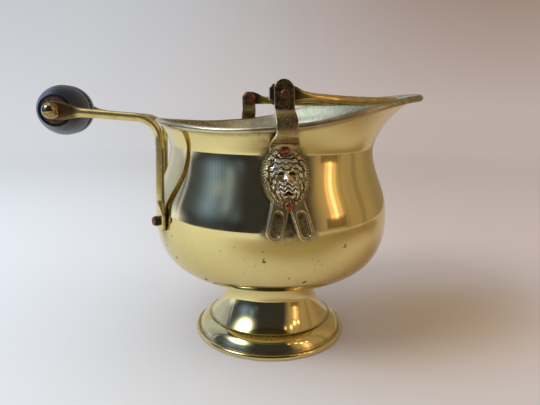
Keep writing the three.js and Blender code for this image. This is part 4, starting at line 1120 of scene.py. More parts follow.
bail_shape, bail_forged = bail_skin()
piece("swinging_bail", [bail_shape], bail_brass, "bail", "bail", ["bail"], 50, {"forged": bail_forged})

# %% [markdown]
# ## The arms of the rear handle
# Each arm starts as a flat eye on the grip's rod, runs forward as a round rod, turns down over a soft bend
# and ends as a flat paddle on the pot's belly. The bend is a Bezier quarter turn. Along the leg, the rod's
# flat side turns from across the handle to square on the pot. A bevelled curve can't turn like that on its
# own. The real arms were bent one by one, and the left one runs about a millimetre lower than its packed
# copy.

# %% Build the arms
GRIP_LENGTH, WASHER_THICKNESS, ARM_EYE_HALF, ARM_EYE_THICKNESS, ARM_TAPER = 41.0, 0.8, 3.9, 2.2, 12.0
BEND, ARM_UPRIGHT_X, ARM_FRONT_Z, ARM_ROD = 9.5, -55.4, 113.5, 1.9
PADDLE_HALF, PADDLE_THICKNESS, PADDLE_LENGTH, PADDLE_FOOT_Z = 4.0, 1.9, 15.0, 61.4
WASHER_Y = GRIP_LENGTH / 2 + GAP
ARM_INNER_Y = WASHER_Y + WASHER_THICKNESS + GAP
ARM_Y = ARM_INNER_Y + ARM_EYE_THICKNESS / 2
BALL_SEAT_Y = ARM_INNER_Y + ARM_EYE_THICKNESS + GAP
ARM_HEADING = unit(np.array([ARM_UPRIGHT_X, ARM_Y, 0.0]))
PADDLE_RADIUS = BELLY_RADIUS + GAP + PADDLE_THICKNESS / 2


def rounded_end(distance, half):
    """The half width of a bar that ends as a circle of radius half, a distance from its end."""
    return half * np.sqrt(np.clip(1 - np.clip(1 - distance / half, 0, 1) ** 2, 0.01, 1))


def arm_skin(lift):
    """A straight run, a Bezier bend and a leg, with a superellipse round them whose widths mix those of the
    eye, the rod and the paddle by soft steps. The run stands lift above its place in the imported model."""
    slope = (GRIP_Z - ARM_FRONT_Z) / (ARM_UPRIGHT_X - BEND - GRIP_X)
    eye_end = GRIP_X - ARM_EYE_HALF
    start = np.array([ARM_UPRIGHT_X - BEND, ARM_Y, ARM_FRONT_Z + lift])
    end = np.array([ARM_UPRIGHT_X, ARM_Y, ARM_FRONT_Z - BEND])
    handle = 0.55 * BEND
    onward, back = start + [handle, 0, -slope * handle], end + [0, 0, handle]
    t = np.linspace(0, 1, 60)[:, None]
    bend = (1 - t) ** 3 * start + 3 * t * (1 - t) ** 2 * onward + 3 * t**2 * (1 - t) * back + t**3 * end
    run_x = np.linspace(eye_end, start[0], 60)[:-1]
    raised = lift * smooth(run_x, GRIP_X + 4, GRIP_X + 18)
    run = np.stack([run_x, 0 * run_x + ARM_Y, GRIP_Z - slope * (run_x - GRIP_X) + raised], -1)
    foot = ARM_HEADING * PADDLE_RADIUS
    paddle_top = PADDLE_FOOT_Z + PADDLE_LENGTH
    z = np.linspace(end[2], PADDLE_FOOT_Z, 120)[1:]
    lean = smooth(z, paddle_top - 4, end[2])
    leg = np.stack([mix(foot[0], ARM_UPRIGHT_X, lean), mix(foot[1], ARM_Y, lean), z], -1)
    at = stations(np.vstack([run, bend, leg]), spacing=0.3)
    along = unit(np.gradient(at, axis=0))
    lowness = (1 - smooth(at[:, 2], paddle_top - 4, paddle_top + 4))[:, None]
    inward = np.array([ARM_HEADING[1], -ARM_HEADING[0], 0.0])
    thin = unit(mix(np.array([0.0, 1.0, 0.0]), inward, lowness))
    wide = unit(np.cross(thin, along))
    eyeness = 1 - smooth(at[:, 0], GRIP_X + 2, GRIP_X + ARM_TAPER)
    footness = 1 - smooth(at[:, 2], paddle_top - 7, paddle_top)
    eye_half = rounded_end(at[:, 0] - eye_end, ARM_EYE_HALF)
    foot_half = rounded_end(at[:, 2] - PADDLE_FOOT_Z, PADDLE_HALF)
    half_wide = mix(mix(ARM_ROD, eye_half, eyeness), PADDLE_THICKNESS / 2, footness)
    half_thin = mix(mix(ARM_ROD, ARM_EYE_THICKNESS / 2, eyeness), foot_half, footness)
    power = 2 + 3 * np.maximum(eyeness, footness)
    return swept(at, wide, thin, half_wide, half_thin, power), along_bar(eyeness**0.6, [1, 0])


ARM_LIFTS = {"left": -1.1, "right": 0.0}
for side, lift in ARM_LIFTS.items():
    arm_shape, arm_forged = arm_skin(lift)
    side_piece(side, "bent_arm", [arm_shape], arm_brass, "handle_arm", "handle_arm", 50,
               {"forged": arm_forged})

# %% [markdown]
# ## Rivets
# A rivet is a turned shape too, but a hammered head is never quite round. A perfect dome from Blender's own
# sphere looks like a bead glued on, so the radius of each head swells and shrinks with the angle by a few
# cosines, and its top is slightly flattened. The pivot heads were filed flat. The upper rivet of each ear
# was struck twice and has two humps.

# %% The shape of a rivet
SHANK, PIVOT_SHANK, HEAD_HEIGHT, INNER_HEAD = 1.3, 1.5, 1.1, 2.3


def rivet_skin(grip, head, inner, shank, axis, at, rough=0.0, flat=0.0, humps=0.0, height=HEAD_HEIGHT):
    """Quarter ellipses for both heads with a shank between. Rough times three cosines of the angle waves the
    outer head's edge, flat cuts its top, and humps sinks a bell across its middle."""
    turn = np.linspace(0, np.pi / 2 - 0.03, 16)
    dome = height * np.minimum(np.sin(turn), 1 - flat) / (1 - flat)
    outer = np.stack([head * np.cos(turn), dome], -1)
    under = np.stack([inner * np.cos(turn[::-1]), -grip - height * np.sin(turn[::-1])], -1)
    profile = np.vstack([under, [[shank, -grip], [shank, 0]], outer])
    points = turned(profile, 48)
    angle = np.arctan2(points[..., 1], points[..., 0])
    r = np.hypot(points[..., 0], points[..., 1])
    on_head = points[..., 2] > 0
    phase = rng.random(3) * 6.28
    waves = ((2, 1.0, phase[0]), (3, 0.6, phase[1]), (5, 0.4, phase[2]))
    swell = rough * sum(share * np.cos(count * angle + start) for count, share, start in waves)
    points[..., :2] *= (1 + swell * on_head)[..., None]
    split = 0.8 * humps * bell(points[..., 0], 0, 0.5) * np.clip(r / head, 0, 1)
    tilt = 1.6 * rough * np.cos(2 * angle + phase[1]) * r / head * np.clip(1 - r / head, 0, 1)
    points[..., 2] += on_head * (tilt - split)
    top = [0, 0, height - humps * 0.2]
    points, faces = shell(points, poles=[[0, 0, -grip - height], top])
    return aimed(points, axis, at), faces


print("rivets have a shank of radius", SHANK, "mm")

# %% [markdown]
# ### Copper
# The rivets are copper, red on the ears and brown at the pivots and the arms, where they have been left to
# darken for years. Plain metal with one colour would do from far off, but dark blotches keep each head
# readable against the brass.

# %% The copper of the rivets


def copper(name, color, dark, roughness):
    """Color and a darker blotch by one noise, which makes the blotches duller as well."""
    r = Recipe(name, color, 1.0, roughness)
    patch = r.noise(700, 4, 0.65)
    r.color(r.blend(r.remap(patch, 0.4, 0.66), color, dark))
    r.roughness(r.remap(patch, 0.35, 0.7, roughness - 0.08, roughness + 0.22))
    soft = r.relief(r.noise(800, 2, 0.5), 0.00022)
    r.relief(r.noise(3000, 3, 0.6), 0.00003, under=soft)
    return r.material


red_copper = copper("red_copper", (0.42, 0.13, 0.06), (0.16, 0.05, 0.025), 0.3)
brown_copper = copper("brown_copper", (0.30, 0.125, 0.07), (0.12, 0.05, 0.03), 0.34)
print("made", red_copper.name, "and", brown_copper.name)

# %% [markdown]
# ### Rivets in their places
# Each rivet's outer head lies on its plate and its inner head inside the pot, with a small gap under both.
# Its length is therefore worked out from the curved wall at its own place. The right rivets are mirror
# images of left ones, each with its own dents.

# %% Build the rivets
EAR_HEAD, PIVOT_HEAD, ARM_HEAD = 2.0, 1.95, 2.1


def inner_wall(z):
    """The outer radius less the sheet along the normal: how far out the pot's inner face is at a height."""
    out, up = pot_normal(np.asarray(z, float))
    return float(pot_radius(z) - SHEET * out)


def ear_rivet(z, **look):
    """From outside the ear to inside the wall, where the nearest corner of the inner head still clears it."""
    x = float(ear_x(z))
    head = float(pot_side(x, z)) + GAP + EAR_PLATE + GAP
    corners = [inner_wall(z + s * INNER_HEAD) ** 2 - (abs(x) + INNER_HEAD) ** 2 for s in (-1, 1)]
    inside = np.sqrt(min(corners)) - GAP
    return rivet_skin(head - inside, EAR_HEAD, INNER_HEAD, SHANK, [0, 1, 0], [x, head, z], **look)


def pivot_rivet():
    """From outside the strap to inside the bail's eye, through both."""
    head = STRAP_Y + EAR_PLATE + GAP
    inside = STRAP_Y - GAP - BAIL_EYE_THICKNESS - GAP
    at = [PIVOT_X, head, PIVOT_Z]
    return rivet_skin(head - inside, PIVOT_HEAD, PIVOT_INNER_HEAD, PIVOT_SHANK, [0, 1, 0], at,
                      rough=0.02, flat=0.35, height=0.95)


COLLAR_THICKNESS, COLLAR_RADIUS = 1.6, 2.3
COLLAR_SEAT = PADDLE_RADIUS + PADDLE_THICKNESS / 2 + GAP


def arm_rivet():
    """From outside the collar to inside the belly, along the level line from the pot's axis to the paddle."""
    head = COLLAR_SEAT + COLLAR_THICKNESS + GAP
    inside = np.sqrt(inner_wall(ARM_RIVET_Z + INNER_HEAD) ** 2 - INNER_HEAD**2) - GAP
    at = ARM_HEADING * head + [0, 0, ARM_RIVET_Z]
    return rivet_skin(head - inside, ARM_HEAD, INNER_HEAD, SHANK, ARM_HEADING, at, rough=0.03)


for side in ("left", "right"):
    upper = ear_rivet(EAR_RIVETS_Z["top"], rough=0.06, humps=0.8)
    side_piece(side, "upper_rivet", [upper], red_copper, "ear_rivet", "ear_top_rivet")
    lower = ear_rivet(EAR_RIVETS_Z["bottom"], rough=0.025, flat=0.12)
    side_piece(side, "lower_rivet", [lower], red_copper, "ear_rivet", "ear_bottom_rivet")
    side_piece(side, "pivot_pin", [pivot_rivet()], brown_copper, "pivot_rivet", "pivot_rivet")
    side_piece(side, "foot_rivet", [arm_rivet()], brown_copper, "arm_rivet", "arm_rivet")

# %% [markdown]
# ## Collars, washers and ball nuts
# The collar under each arm rivet is a dark iron ring, and the washers beside the grip are brass. Both are
# rectangles turned about a bore, with their corners rounded by a few points, where a bevel on a cylinder
# would do as well. The ball nuts are spheres with a flat seat. The rod through the grip hardly shows, so it
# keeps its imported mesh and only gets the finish.

# %% Shapes of the small fittings
WASHER_RADIUS, SPINDLE, BALL, BALL_FLAT = 3.4, 1.6, 3.5, 0.5


def ring_skin(bore, radius, height, axis, at, round_off=0.22):
    """A rectangle of radius and height whose two outer corners are quarter circles, turned about the bore."""
    turn = np.linspace(0, np.pi / 2, 5)
    corner = round_off * (1 - np.cos(turn)), round_off * (1 - np.sin(turn))
    top = np.stack([radius - corner[0], height - corner[1]], -1)
    low = np.stack([radius - corner[0][::-1], corner[1][::-1]], -1)
    profile = np.vstack([[[bore, 0]], low, top, [[bore, height]]])
    points, faces = shell(turned(profile, 48), wrap_rows=True)
    return aimed(points, axis, at), faces


def ball_skin():
    """A sphere whose seat is cut flat, less a bell of the angle as a shallow turned line round it."""
    centre = BALL - BALL_FLAT
    start = np.arctan2(-centre, np.sqrt(BALL**2 - centre**2))
    turn = np.linspace(start, np.pi / 2 - 0.02, 40)
    radius = BALL - 0.05 * bell(turn, 0.15, 0.03)
    profile = np.stack([radius * np.cos(turn), centre + radius * np.sin(turn)], -1)
    points, faces = shell(turned(profile, 56), poles=[[0, 0, 0], [0, 0, centre + BALL]])
    return aimed(points, [0, 1, 0], [GRIP_X, BALL_SEAT_Y, GRIP_Z]), faces


print("a ball nut has", len(ball_skin()[0]), "points")

# %% [markdown]
# ### Dark iron and plain brass
# The collars are bare iron with a little rust, and the nuts and washers are plain brass. They are a few
# millimetres wide, so one noise each is enough to keep them from looking cast in plastic.

# %% Finish of the small fittings


def dark_iron():
    """Near-black and rust brown by one noise."""
    r = Recipe("dark_iron", (0.05, 0.042, 0.036), 1.0, 0.5)
    rust = r.noise(900, 4, 0.65)
    r.color(r.blend(r.remap(rust, 0.45, 0.65), (0.05, 0.042, 0.036), (0.11, 0.06, 0.03)))
    r.roughness(r.remap(rust, 0.3, 0.7, 0.35, 0.7))
    r.relief(rust, 0.00012)
    return r.material


def plain_brass(name, color):
    """Color and half of it in clouds, which are also the duller places."""
    r = Recipe(name, color, 1.0, 0.18)
    cloud = r.noise(500, 4, 0.6)
    r.color(r.blend(r.remap(cloud, 0.4, 0.7), color, tuple(c * 0.5 for c in color)))
    r.roughness(r.remap(cloud, 0.3, 0.7, 0.08, 0.2))
    r.relief(r.noise(1500, 2, 0.5), 0.00001)
    return r.material


def dressed(node, material):
    """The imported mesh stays, and only its finish changes."""
    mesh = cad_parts[node].data
    mesh.materials.clear()
    mesh.materials.append(material)
    print("finish on", node)


iron, nut_brass = dark_iron(), plain_brass("nut_brass", (0.42, 0.30, 0.12))
collar = ring_skin(SHANK + GAP, COLLAR_RADIUS, COLLAR_THICKNESS, ARM_HEADING,
                   ARM_HEADING * COLLAR_SEAT + [0, 0, ARM_RIVET_Z])
washer = ring_skin(SPINDLE + GAP, WASHER_RADIUS, WASHER_THICKNESS, [0, 1, 0],
                   [GRIP_X, WASHER_Y, GRIP_Z], round_off=0.15)
for side in ("left", "right"):
    side_piece(side, "iron_collar", [collar], iron, "arm_collar", "arm_collar")
    side_piece(side, "thin_washer", [washer], nut_brass, "washer", "grip_washer")
    side_piece(side, "round_nut", [ball_skin()], nut_brass, "ball_nut", "ball_nut", 50)
dressed("grip_spindle", nut_brass)

# %% [markdown]
# ## The turned grip
# The grip is a barrel of hard wood under black lacquer. Its lathe marks show as fine rings, a groove runs
# round its middle with painted shade in it and a painted highlight as a pale line beside it, and the bare end
# grain is brown and chattered. The rings could be bump alone, but the highlight on a lathe-turned barrel
# wanders with its true shape. So they are in the profile: the radius falls from the middle to the ends by a
# power of the distance, and small cosines add the rings.

# %% Build the grip
GRIP_RADIUS, GRIP_END, GRIP_FALL, GROOVE_WIDTH, GROOVE_DEPTH = 11.6, 6.8, 2.4, 1.7, 0.9
GRIP_COLUMNS, END_ROUND, BARE_RADIUS = 112, 0.5, 5.6


def grip_radius(y):
    """A power of the distance from the middle, less a square groove and a wide bell round it, less a fine
    line near each end, plus two cosines as lathe marks. The power changes by 0.4 across the middle."""
    radius = mix(GRIP_RADIUS, GRIP_END, np.abs(2 * y / GRIP_LENGTH) ** (GRIP_FALL - 0.4 * smooth(y, 2, -2)))
    groove = GROOVE_DEPTH * np.exp(-((np.abs(y) / (GROOVE_WIDTH * 0.46)) ** 6)) + 0.95 * bell(y, 0, 2.3)
    line = 0.05 * bell(np.abs(y), 16.5, 0.3)
    return radius - groove - line + 0.015 * np.cos(y * 9) + 0.01 * np.cos(y * 23 + 1)


def grip_skin():
    """The barrel's profile with a quarter ellipse and a chattered face at each end, turned about the rod."""
    half, bore = GRIP_LENGTH / 2, SPINDLE + GAP
    y = np.linspace(half - END_ROUND, END_ROUND - half, 420)
    radius = grip_radius(y)
    turn = np.linspace(0, np.pi / 2, 8)[1:]
    round_y, round_r = half - END_ROUND + END_ROUND * np.sin(turn), radius[0] - 0.4 * (1 - np.cos(turn))
    face_r = np.linspace(radius[0] - 0.4, bore, 26)[1:]
    face_y = half - 0.05 * (1 - np.cos(face_r * 7)) * smooth(face_r, bore, bore + 0.4)
    from_bore = np.stack([np.concatenate([face_r[::-1], round_r[::-1]]),
                          np.concatenate([face_y[::-1], round_y[::-1]])], -1)
    profile = np.vstack([from_bore, np.stack([radius, y], -1), from_bore[::-1] * [1, -1]])
    bare = smooth(profile[:, 0], BARE_RADIUS + 0.1, BARE_RADIUS - 0.1) * (np.abs(profile[:, 1]) > half - 0.6)
    points, faces = shell(turned(profile, GRIP_COLUMNS), wrap_rows=True)
    return (aimed(points, [0, 1, 0], [GRIP_X, 0, GRIP_Z]), faces), np.repeat(bare, GRIP_COLUMNS)


grip_shape, grip_bare = grip_skin()
print("points of the grip:", len(grip_shape[0]))

# %% [markdown]
# ### Black lacquer
# The lacquer is a hard, slightly bluish black with rubbed places, and it is worn off at both ends. It could
# be a coat over a wood shader, but so dark a coat hides the wood, so one shader mixes both colours.

# %% Lacquer on the grip


def black_lacquer():
    """Lacquer a little lighter in clouds where it wears thin, with painted shade black inside the groove and
    a painted highlight as a pale line beside it, both by the distance from the grip's middle, and bare wood
    where the attribute bare is 1."""
    r = Recipe("black_lacquer", (0.012, 0.012, 0.015), 0.0, 0.16)
    r.feed(r.shader, {"Specular IOR Level": 0.40})
    along = r.math("ABSOLUTE", r.split(r.place)[1])
    end = r.attribute("bare")
    wear_and_glints = r.times(r.remap(r.noise(180, 4, 0.6), 0.5, 0.75), 0.35)
    lacquer = r.blend(wear_and_glints, (0.007, 0.008, 0.012), (0.020, 0.022, 0.028))
    # Painted highlight: a pale line beside the groove. Painted shade: black inside the groove.
    line = r.remap(r.math("ABSOLUTE", r.math("SUBTRACT", along, 0.0028)), 0.0002, 0.0005, 1.0, 0.0)
    with_painted_highlight = r.blend(r.times(line, 0.8), lacquer, (0.20, 0.21, 0.23))
    in_groove = r.remap(along, 0.0018, 0.0022, 1.0, 0.0)
    with_painted_groove_shade = r.blend(in_groove, with_painted_highlight, (0.001, 0.001, 0.001))
    grain = r.noise(520, 5, 0.7, r.stretch(1, 0.1, 1))
    wood = r.blend(r.remap(grain, 0.35, 0.65), (0.026, 0.011, 0.006), (0.14, 0.065, 0.025))
    r.color(r.blend(end, with_painted_groove_shade, wood))
    rings = r.noise(1900, 2, 0.5, r.stretch(0.02, 1, 0.02))
    r.roughness(r.plus(r.remap(rings, 0.3, 0.7, 0.12, 0.24), r.times(end, 0.5), r.times(in_groove, 0.7)))
    soft = r.relief(rings, 0.00006)
    r.relief(r.times(grain, end), 0.00035, under=soft)
    return r.material


piece("turned_grip", [grip_shape], black_lacquer(), "grip", "grip", ["grip"], 35, {"bare": grip_bare})

# %% [markdown]
# ## The solder
# Under the foot, a dull fillet of solder joins it to the pot. It is a plain ring that hardly shows. Its
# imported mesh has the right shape, so it stays and only gets a rough grey metal.

# %% Solder


def dull_solder():
    """Two greys by one noise, which also roughens and dents the surface."""
    r = Recipe("dull_solder", (0.42, 0.41, 0.38), 1.0, 0.5)
    blotch = r.noise(420, 4, 0.6)
    r.color(r.blend(r.remap(blotch, 0.4, 0.65), (0.42, 0.41, 0.38), (0.19, 0.18, 0.16)))
    r.roughness(r.remap(blotch, 0.3, 0.7, 0.38, 0.66))
    r.relief(blotch, 0.0004)
    return r.material


dressed("solder_seam", dull_solder())

# %% [markdown]
# ## Paper and background
# The scuttle stands on pale paper whose colour holds painted light: cool on the left, and warmer and dimmer
# on the right. The floor shows its own shading near the object and turns into plain light of its own colour
# far away, so no edge is seen. A curved backdrop would do this too, but not from every side. Patches of
# painted shade on the paper, some warmed by painted light thrown from the brass, give the brass what it
# mirrors from below.

# %% Colours of the paper
# Painted light: the paper is cool where light from the left falls, and warmer and dimmer on the right.
COOL_LIT_PAPER, WARM_DIM_PAPER = (0.67, 0.705, 0.75), (0.50, 0.415, 0.375)
# Each patch of painted shade has a colour and an amount, its middle and half sizes in millimetres, its turn
# in degrees, and where its fading starts and ends in shares of the size. The first, beside the foot, is
# warmed by painted light thrown from the brass.
SHADE_PATCHES = [
    dict(dark=(0.34, 0.19, 0.05), amount=0.58, at=(92, -8), size=(95, 60), turn=20, fades=(0.0, 1.5)),
    dict(dark=(0.30, 0.24, 0.12), amount=0.85, at=(70, -235), size=(370, 175), turn=-5, fades=(0.2, 1)),
    dict(dark=(0.24, 0.17, 0.08), amount=0.8, at=(330, -170), size=(270, 190), turn=35, fades=(0.2, 1)),
    dict(dark=(0.26, 0.18, 0.09), amount=0.8, at=(420, 0), size=(230, 170), turn=0, fades=(0.3, 1)),
]


def sideways(nodes, place):
    """x over the length of (x, y, 0.35): the bearing of a place, calmed near the middle. Then its height."""
    x, y, z = nodes.split(place)
    return nodes.math("DIVIDE", x, nodes.vector("LENGTH", nodes.point(x, y, 0.35))), z


def tinted(nodes, ratio, cool, warm, start=-0.55):
    """cool at the ratio start and warm at 0.6."""
    return nodes.blend(nodes.remap(ratio, start, 0.6), cool, warm)


def with_shade_patch(nodes, place, color, dark, amount, at, size, turn, fades):
    """A colour with an oval of painted shade laid over it: the amount in the middle, falling with the
    distance from there.
    """
    oval = nodes.add("ShaderNodeMapping", vector_type="TEXTURE")
    nodes.feed(oval, {"Vector": place, "Location": ((AXIS_X + at[0]) * MM, at[1] * MM, 0),
                      "Rotation": (0, 0, np.radians(turn)), "Scale": (size[0] * MM, size[1] * MM, 1)})
    spread = nodes.vector("LENGTH", oval.outputs["Vector"])
    return nodes.blend(nodes.remap(spread, *fades, amount, 0.0, "SMOOTHERSTEP"), color, dark)


print("painted_shade_patches on the paper:", len(SHADE_PATCHES))

# %% [markdown]
# ### The floor
# The floor is a flat disc, wide enough that its edge is far behind the place where it only glows. Its
# material mixes two shaders by the distance from the middle.

# %% Lay the floor
FLOOR_RADIUS, FLOOR_CORNERS = 6.0, 96


def pale_paper():
    """Rough paper within 0.35 m of the middle, a glow of its own colour beyond 1.3 m, and a mix between."""
    material = bpy.data.materials.new("pale_paper")
    nodes = wired(material)
    place = nodes.add("ShaderNodeTexCoord").outputs["Object"]
    color = tinted(nodes, sideways(nodes, place)[0], COOL_LIT_PAPER, WARM_DIM_PAPER)
    near = color
    # Painted shade: each patch darkens the paper near the object.
    for shade_patch in SHADE_PATCHES:
        near = with_shade_patch(nodes, place, near, **shade_patch)
    paper = nodes.tree.nodes["Principled BSDF"]
    nodes.feed(paper, {"Base Color": near, "Roughness": 0.9, "Specular IOR Level": 0.1})
    glow, both = nodes.add("ShaderNodeEmission"), nodes.add("ShaderNodeMixShader")
    nodes.join(color, glow.inputs["Color"])
    far = nodes.remap(nodes.vector("LENGTH", place), 0.35, 1.3)
    nodes.feed(both, {0: far, 1: paper.outputs["BSDF"], 2: glow.outputs["Emission"]})
    nodes.join(both.outputs["Shader"], nodes.tree.nodes["Material Output"].inputs["Surface"])
    return material


ring = np.linspace(0, 2 * np.pi, FLOOR_CORNERS, endpoint=False)
floor_mesh = bpy.data.meshes.new("paper_floor")
floor_points = FLOOR_RADIUS * np.stack([np.cos(ring), np.sin(ring), 0 * ring], -1)
floor_mesh.from_pydata(floor_points.tolist(), [], [list(range(FLOOR_CORNERS))])
floor_mesh.materials.append(pale_paper())
floor = new_object("paper_floor", floor_mesh)
print("floor with a radius of", FLOOR_RADIUS, "m")

# %% [markdown]
# ### Background
# The background has the floor's colours at the horizon, so the two meet unseen, and gets darker above. Only
# rays from the camera, from mirrors and through glass see it. All other rays get one even light, so the
# colours behind the object don't tint it.

# %% Background
HIGH_COOL, HIGH_WARM = (0.56, 0.575, 0.605), (0.34, 0.245, 0.20)
OVERHEAD, EVEN_LIGHT = (0.17, 0.17, 0.185), (0.80, 0.80, 0.80)


def soft_room():
    """Level colours that turn into high ones up to a height of 0.2, and into the overhead one up to 0.62."""
    world = bpy.data.worlds.new("soft_room")
    nodes = wired(world)
    ratio, height = sideways(nodes, nodes.add("ShaderNodeTexCoord").outputs["Generated"])
    level = tinted(nodes, ratio, COOL_LIT_PAPER, WARM_DIM_PAPER)
    high = tinted(nodes, ratio, HIGH_COOL, HIGH_WARM, -0.25)
    seen = nodes.blend(nodes.remap(height, 0.0, 0.20, curve="LINEAR"), level, high)
    seen = nodes.blend(nodes.remap(height, 0.30, 0.62), seen, OVERHEAD)
    rays = nodes.add("ShaderNodeLightPath").outputs
    shown = nodes.most(rays["Is Camera Ray"], rays["Is Glossy Ray"], rays["Is Transmission Ray"])
    nodes.join(nodes.blend(shown, EVEN_LIGHT, seen), nodes.tree.nodes["Background"].inputs["Color"])
    return world


bpy.context.scene.world = soft_room()
print("background:", bpy.context.scene.world.name)

# %% [markdown]
# ## The room that the metal mirrors
# Polished metal needs something to mirror. A photographed room would be the usual way, but no picture may
# go in here, so a dome with a colour on each of its points stands in front of the paper, seen by mirrored
# rays only. Each colour is worked out from the point's bearing and height as seen from the pot. Bearing 0 is
# straight in front of the object and grows to the right. The room is dark in the middle, with a bluish haze
# on the left below a high cool window, a paler wall beyond bearing -98, and a warm brown wall with a tall
# narrow lamp and a few bright points on the right.

# %% Walls of the room
DARK_MIDDLE, DARK_LEFT, BROWN_WALL = (0.038, 0.040, 0.058), (0.070, 0.095, 0.18), (0.42, 0.32, 0.21)
PALE_WALL, PALE_WALL_END, LEVEL_BAND = (0.38, 0.46, 0.74), (0.55, 0.64, 0.92), (0.10, 0.06, 0.035)
CEILING_LEFT, CEILING_RIGHT = (1.3, 1.4, 1.55), (0.36, 0.32, 0.27)


def between(value, low, high, soft=1.5):
    """1 between low and high, with a soft step of the given width at each end."""
    return smooth(value, low, low + soft) * smooth(value, high, high - soft)


def room_walls(bearing, height):
    """Walls that meet by soft steps of the bearing, with two darker upright bands and a level one, under a
    ceiling that begins above 52 degrees."""
    def painted(under, color, amount):
        return mix(under, np.array(color), amount[..., None])

    walls = painted(np.array(DARK_MIDDLE) + 0 * height[..., None], DARK_LEFT, smooth(bearing, -22, -46))
    pale = painted(np.array(PALE_WALL) + 0 * walls, PALE_WALL_END, smooth(bearing, -102, -122))
    walls = mix(walls, pale, smooth(bearing, -97, -100)[..., None])
    low_left = smooth(height, 9, 2) * smooth(bearing, -92, -86) * smooth(bearing, -20, -30)
    walls = walls * (1 - 0.4 * low_left)[..., None]
    walls = painted(walls, BROWN_WALL, smooth(bearing, 32, 50))
    upright = between(bearing, 70, 77) + smooth(bearing, 90, 91.5) * smooth(bearing, 99, 97)
    walls = walls * (1 - 0.22 * upright - 0.25 * smooth(bearing, 104, 124))[..., None]
    level = between(bearing, 50, 72) * smooth(height, 7.5, 6) * smooth(height, -6, -4)
    walls = painted(walls, LEVEL_BAND, 0.75 * level)
    ceiling = painted(np.array(CEILING_LEFT) + 0 * walls, CEILING_RIGHT, smooth(bearing, -60, 0))
    return mix(walls, ceiling, smooth(height, 52, 68)[..., None])


brown = room_walls(np.array([60.0]), np.array([20.0]))[0]
print("wall at bearing 60, 20 degrees up:", np.round(brown, 3))

# %% [markdown]
# ### Lights in the room
# What shines in the room is a few bells of light: the window and its haze, the lamp with a warm fringe on
# both sides, and the bright points. Real lamps in their places would be mirrored too, but as hard-edged
# shapes, and what the belly shows is soft.

# %% Light of the room
FRINGE = (0.75, 0.36, 0.12)
# Each bell of light has a colour, a bearing and its width, and a height and its width, in degrees.
HAZE = [((0.15, 0.22, 0.44), -43, 5.5, 21, 9), ((0.04, 0.06, 0.15), -32, 5, 12, 9),
        ((0.75, 0.86, 1.35), -98, 11, -5, 7), ((0.45, 0.48, 0.85), -94.5, 2.2, 8, 16)]
WINDOW = [((9.0, 10.0, 12.4), -62, 13, 42, 8.5), ((0.8, 0.95, 1.3), -66, 18, 39, 8)]
GLOW = [((0.36, 0.24, 0.12), 63, 11, 20, 16), ((0.9, 0.35, 0.10), 61, 4.0, 8, 2.5)]
BRIGHT_POINTS = [((7, 5.6, 3.6), 60, 2.0, 36, 2.4), ((5, 3.8, 2.4), 53, 2.0, 43, 2.2),
                 ((4.5, 3.4, 2.2), 69, 2.0, 33, 2.0), ((3, 1.8, 1.0), 40, 2.0, 47, 2.2)]


def room_light(bearing, height):
    """Radiance of the walls plus bells over the bearing and the height angle, both in degrees. Two sines of
    the bearing lay folds in the haze under the window, and soft steps of the height cut off the lamp."""
    def spot(color, at, width, up, tall):
        return np.array(color) * (bell(bearing, at, width) * bell(height, up, tall))[..., None]

    folds = 1 + 0.22 * np.sin(bearing * 1.7) + 0.14 * np.sin(bearing * 3.9 + 1)
    folded = spot((0.15, 0.27, 0.72), -61, 12, 17, 13) * folds[..., None]
    lit = (smooth(height, 3, 7) * smooth(height, 33, 28))[..., None]
    lamp = spot((1.15, 1.0, 0.85), 62, 2.6, 20, 30) * lit
    edges = bell(bearing, 57.0, 1.3) + 0.7 * bell(bearing, 67.6, 1.2)
    fringe = np.array(FRINGE) * edges[..., None] * lit
    spots = sum(spot(*bells) for bells in HAZE + WINDOW + GLOW + BRIGHT_POINTS)
    return room_walls(bearing, height) + folded + lamp + fringe + spots


noon = room_light(np.array([0.0]), np.array([10.0]))[0]
print("light from straight in front, 10 degrees up:", np.round(noon, 3))

# %% [markdown]
# ### The dome
# The dome is a barrel round the pot, closed overhead and open behind, where the paper is. It is fine enough
# that the colours of its points blend into soft shapes. It casts no light but what is mirrored, so it never
# tints the paper.

# %% Dome
FRONT = np.radians(-100.3)
DOME_LEFT, DOME_RIGHT, DOME_COLUMNS, DOME_ROWS, EYE_LEVEL = -135, 150, 290, 160, 0.08
DOME_PROFILE = np.array([[0.62, 0.0005], [0.66, 0.12], [0.67, 0.30], [0.62, 0.52], [0.48, 0.74], [0.25, 0.88],
                         [0.02, 0.92]])


def point_glow():
    """Light of the colour that each point of the mesh carries."""
    material = bpy.data.materials.new("room_glow")
    nodes = wired(material)
    nodes.tree.nodes.remove(nodes.tree.nodes["Principled BSDF"])
    source = nodes.add("ShaderNodeAttribute", attribute_name="glow")
    glow = nodes.add("ShaderNodeEmission")
    nodes.join(source.outputs["Color"], glow.inputs["Color"])
    nodes.join(glow.outputs["Emission"], nodes.tree.nodes["Material Output"].inputs["Surface"])
    return material


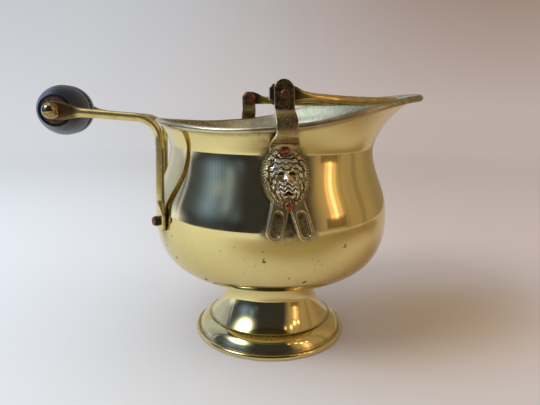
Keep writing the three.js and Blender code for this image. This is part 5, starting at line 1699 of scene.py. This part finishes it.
def room_dome():
    """The profile carried round from the left bearing to the right one, with the room's light at each point's
    bearing and at the angle of its height above the pot's middle."""
    bearing = np.linspace(DOME_LEFT, DOME_RIGHT, DOME_COLUMNS)
    profile = stations(DOME_PROFILE, DOME_ROWS)
    r, z = profile[:, :1], profile[:, 1:]
    theta = FRONT + np.radians(bearing)[None, :]
    points = np.stack([r * np.cos(theta) + AXIS_X * MM, r * np.sin(theta), z + 0 * theta], -1)
    angle = np.degrees(np.arctan2(z - EYE_LEVEL, r)) + 0 * theta
    colors = room_light(bearing + 0 * angle, angle)
    first = (np.arange(DOME_ROWS - 1)[:, None] * DOME_COLUMNS + np.arange(DOME_COLUMNS - 1)).reshape(-1, 1)
    faces = first + [0, 1, DOME_COLUMNS + 1, DOME_COLUMNS]
    mesh = bpy.data.meshes.new("mirrored_room")
    mesh.from_pydata(points.reshape(-1, 3).tolist(), [], faces.tolist())
    layer = mesh.attributes.new("glow", "FLOAT_COLOR", "POINT")
    solid = np.concatenate([colors, np.ones((*angle.shape, 1))], -1)
    layer.data.foreach_set("color", solid.astype(np.float32).ravel())
    mesh.materials.append(point_glow())
    dome = new_object("mirrored_room", mesh)
    dome.visible_camera = dome.visible_diffuse = dome.visible_shadow = False
    dome.visible_transmission = dome.visible_volume_scatter = False
    return dome


room = room_dome()
print("room dome:", len(room.data.vertices), "points")

# %% [markdown]
# ## Lamps
# One large cool lamp stands high on the left and gives the soft shadow on the right, and a weak warm one
# fills from the right. Both are hidden from mirrored rays, because the dome holds what the metal shows.

# %% Lamps


def placed(side, up, back, at):
    """The matrix whose columns are a thing's own axes and its place."""
    return Matrix([[side[k], up[k], back[k], at[k]] for k in range(3)] + [[0, 0, 0, 1]])


def disk_lamp(name, at, towards, size, power, color):
    """A round lamp whose back points along the unit vector from towards to at."""
    data = bpy.data.lights.new(name, "AREA")
    data.shape, data.size, data.energy, data.color = "DISK", size, power, color
    made = new_object(name, data)
    back = unit(np.array(at, float) - np.array(towards, float))
    side = unit(np.cross([0.0, 0.0, 1.0], back))
    made.matrix_world = placed(side, np.cross(back, side), back, at)
    made.visible_glossy = False
    print(name, "at", at)


disk_lamp("window_lamp", (-0.75, -0.30, 0.85), (0, 0, 0.05), 0.50, 7.2, (0.94, 0.97, 1.0))
disk_lamp("warm_fill", (0.8, -0.2, 0.5), (0, 0, 0.05), 0.5, 1.2, (1.0, 0.86, 0.72))

# %% [markdown]
# ## Camera
# The camera stands where the picture was taken from. Its place, its three directions and its focal length
# were solved from the picture: the ellipse of the foot, the rim and both pivots have to fall where they do
# there.

# %% Camera
VIEW_RIGHT = (0.98472, -0.17364, 0.01298)
VIEW_UP = (0.02242, 0.20035, 0.97947)
VIEW_BACK = (-0.17267, -0.96422, 0.20118)
VIEW_FROM = (-43.19, -237.66, 118.64)

camera_data = bpy.data.cameras.new("camera")
camera_data.sensor_width, camera_data.lens = 36.0, 31.0
camera = new_object("camera", camera_data)
camera.matrix_world = placed(VIEW_RIGHT, VIEW_UP, VIEW_BACK, (np.array(VIEW_FROM) + [AXIS_X, 0, 0]) * MM)
bpy.context.scene.camera = camera
bpy.context.scene.view_settings.view_transform = "Standard"
print("camera with a lens of", camera_data.lens, "mm")
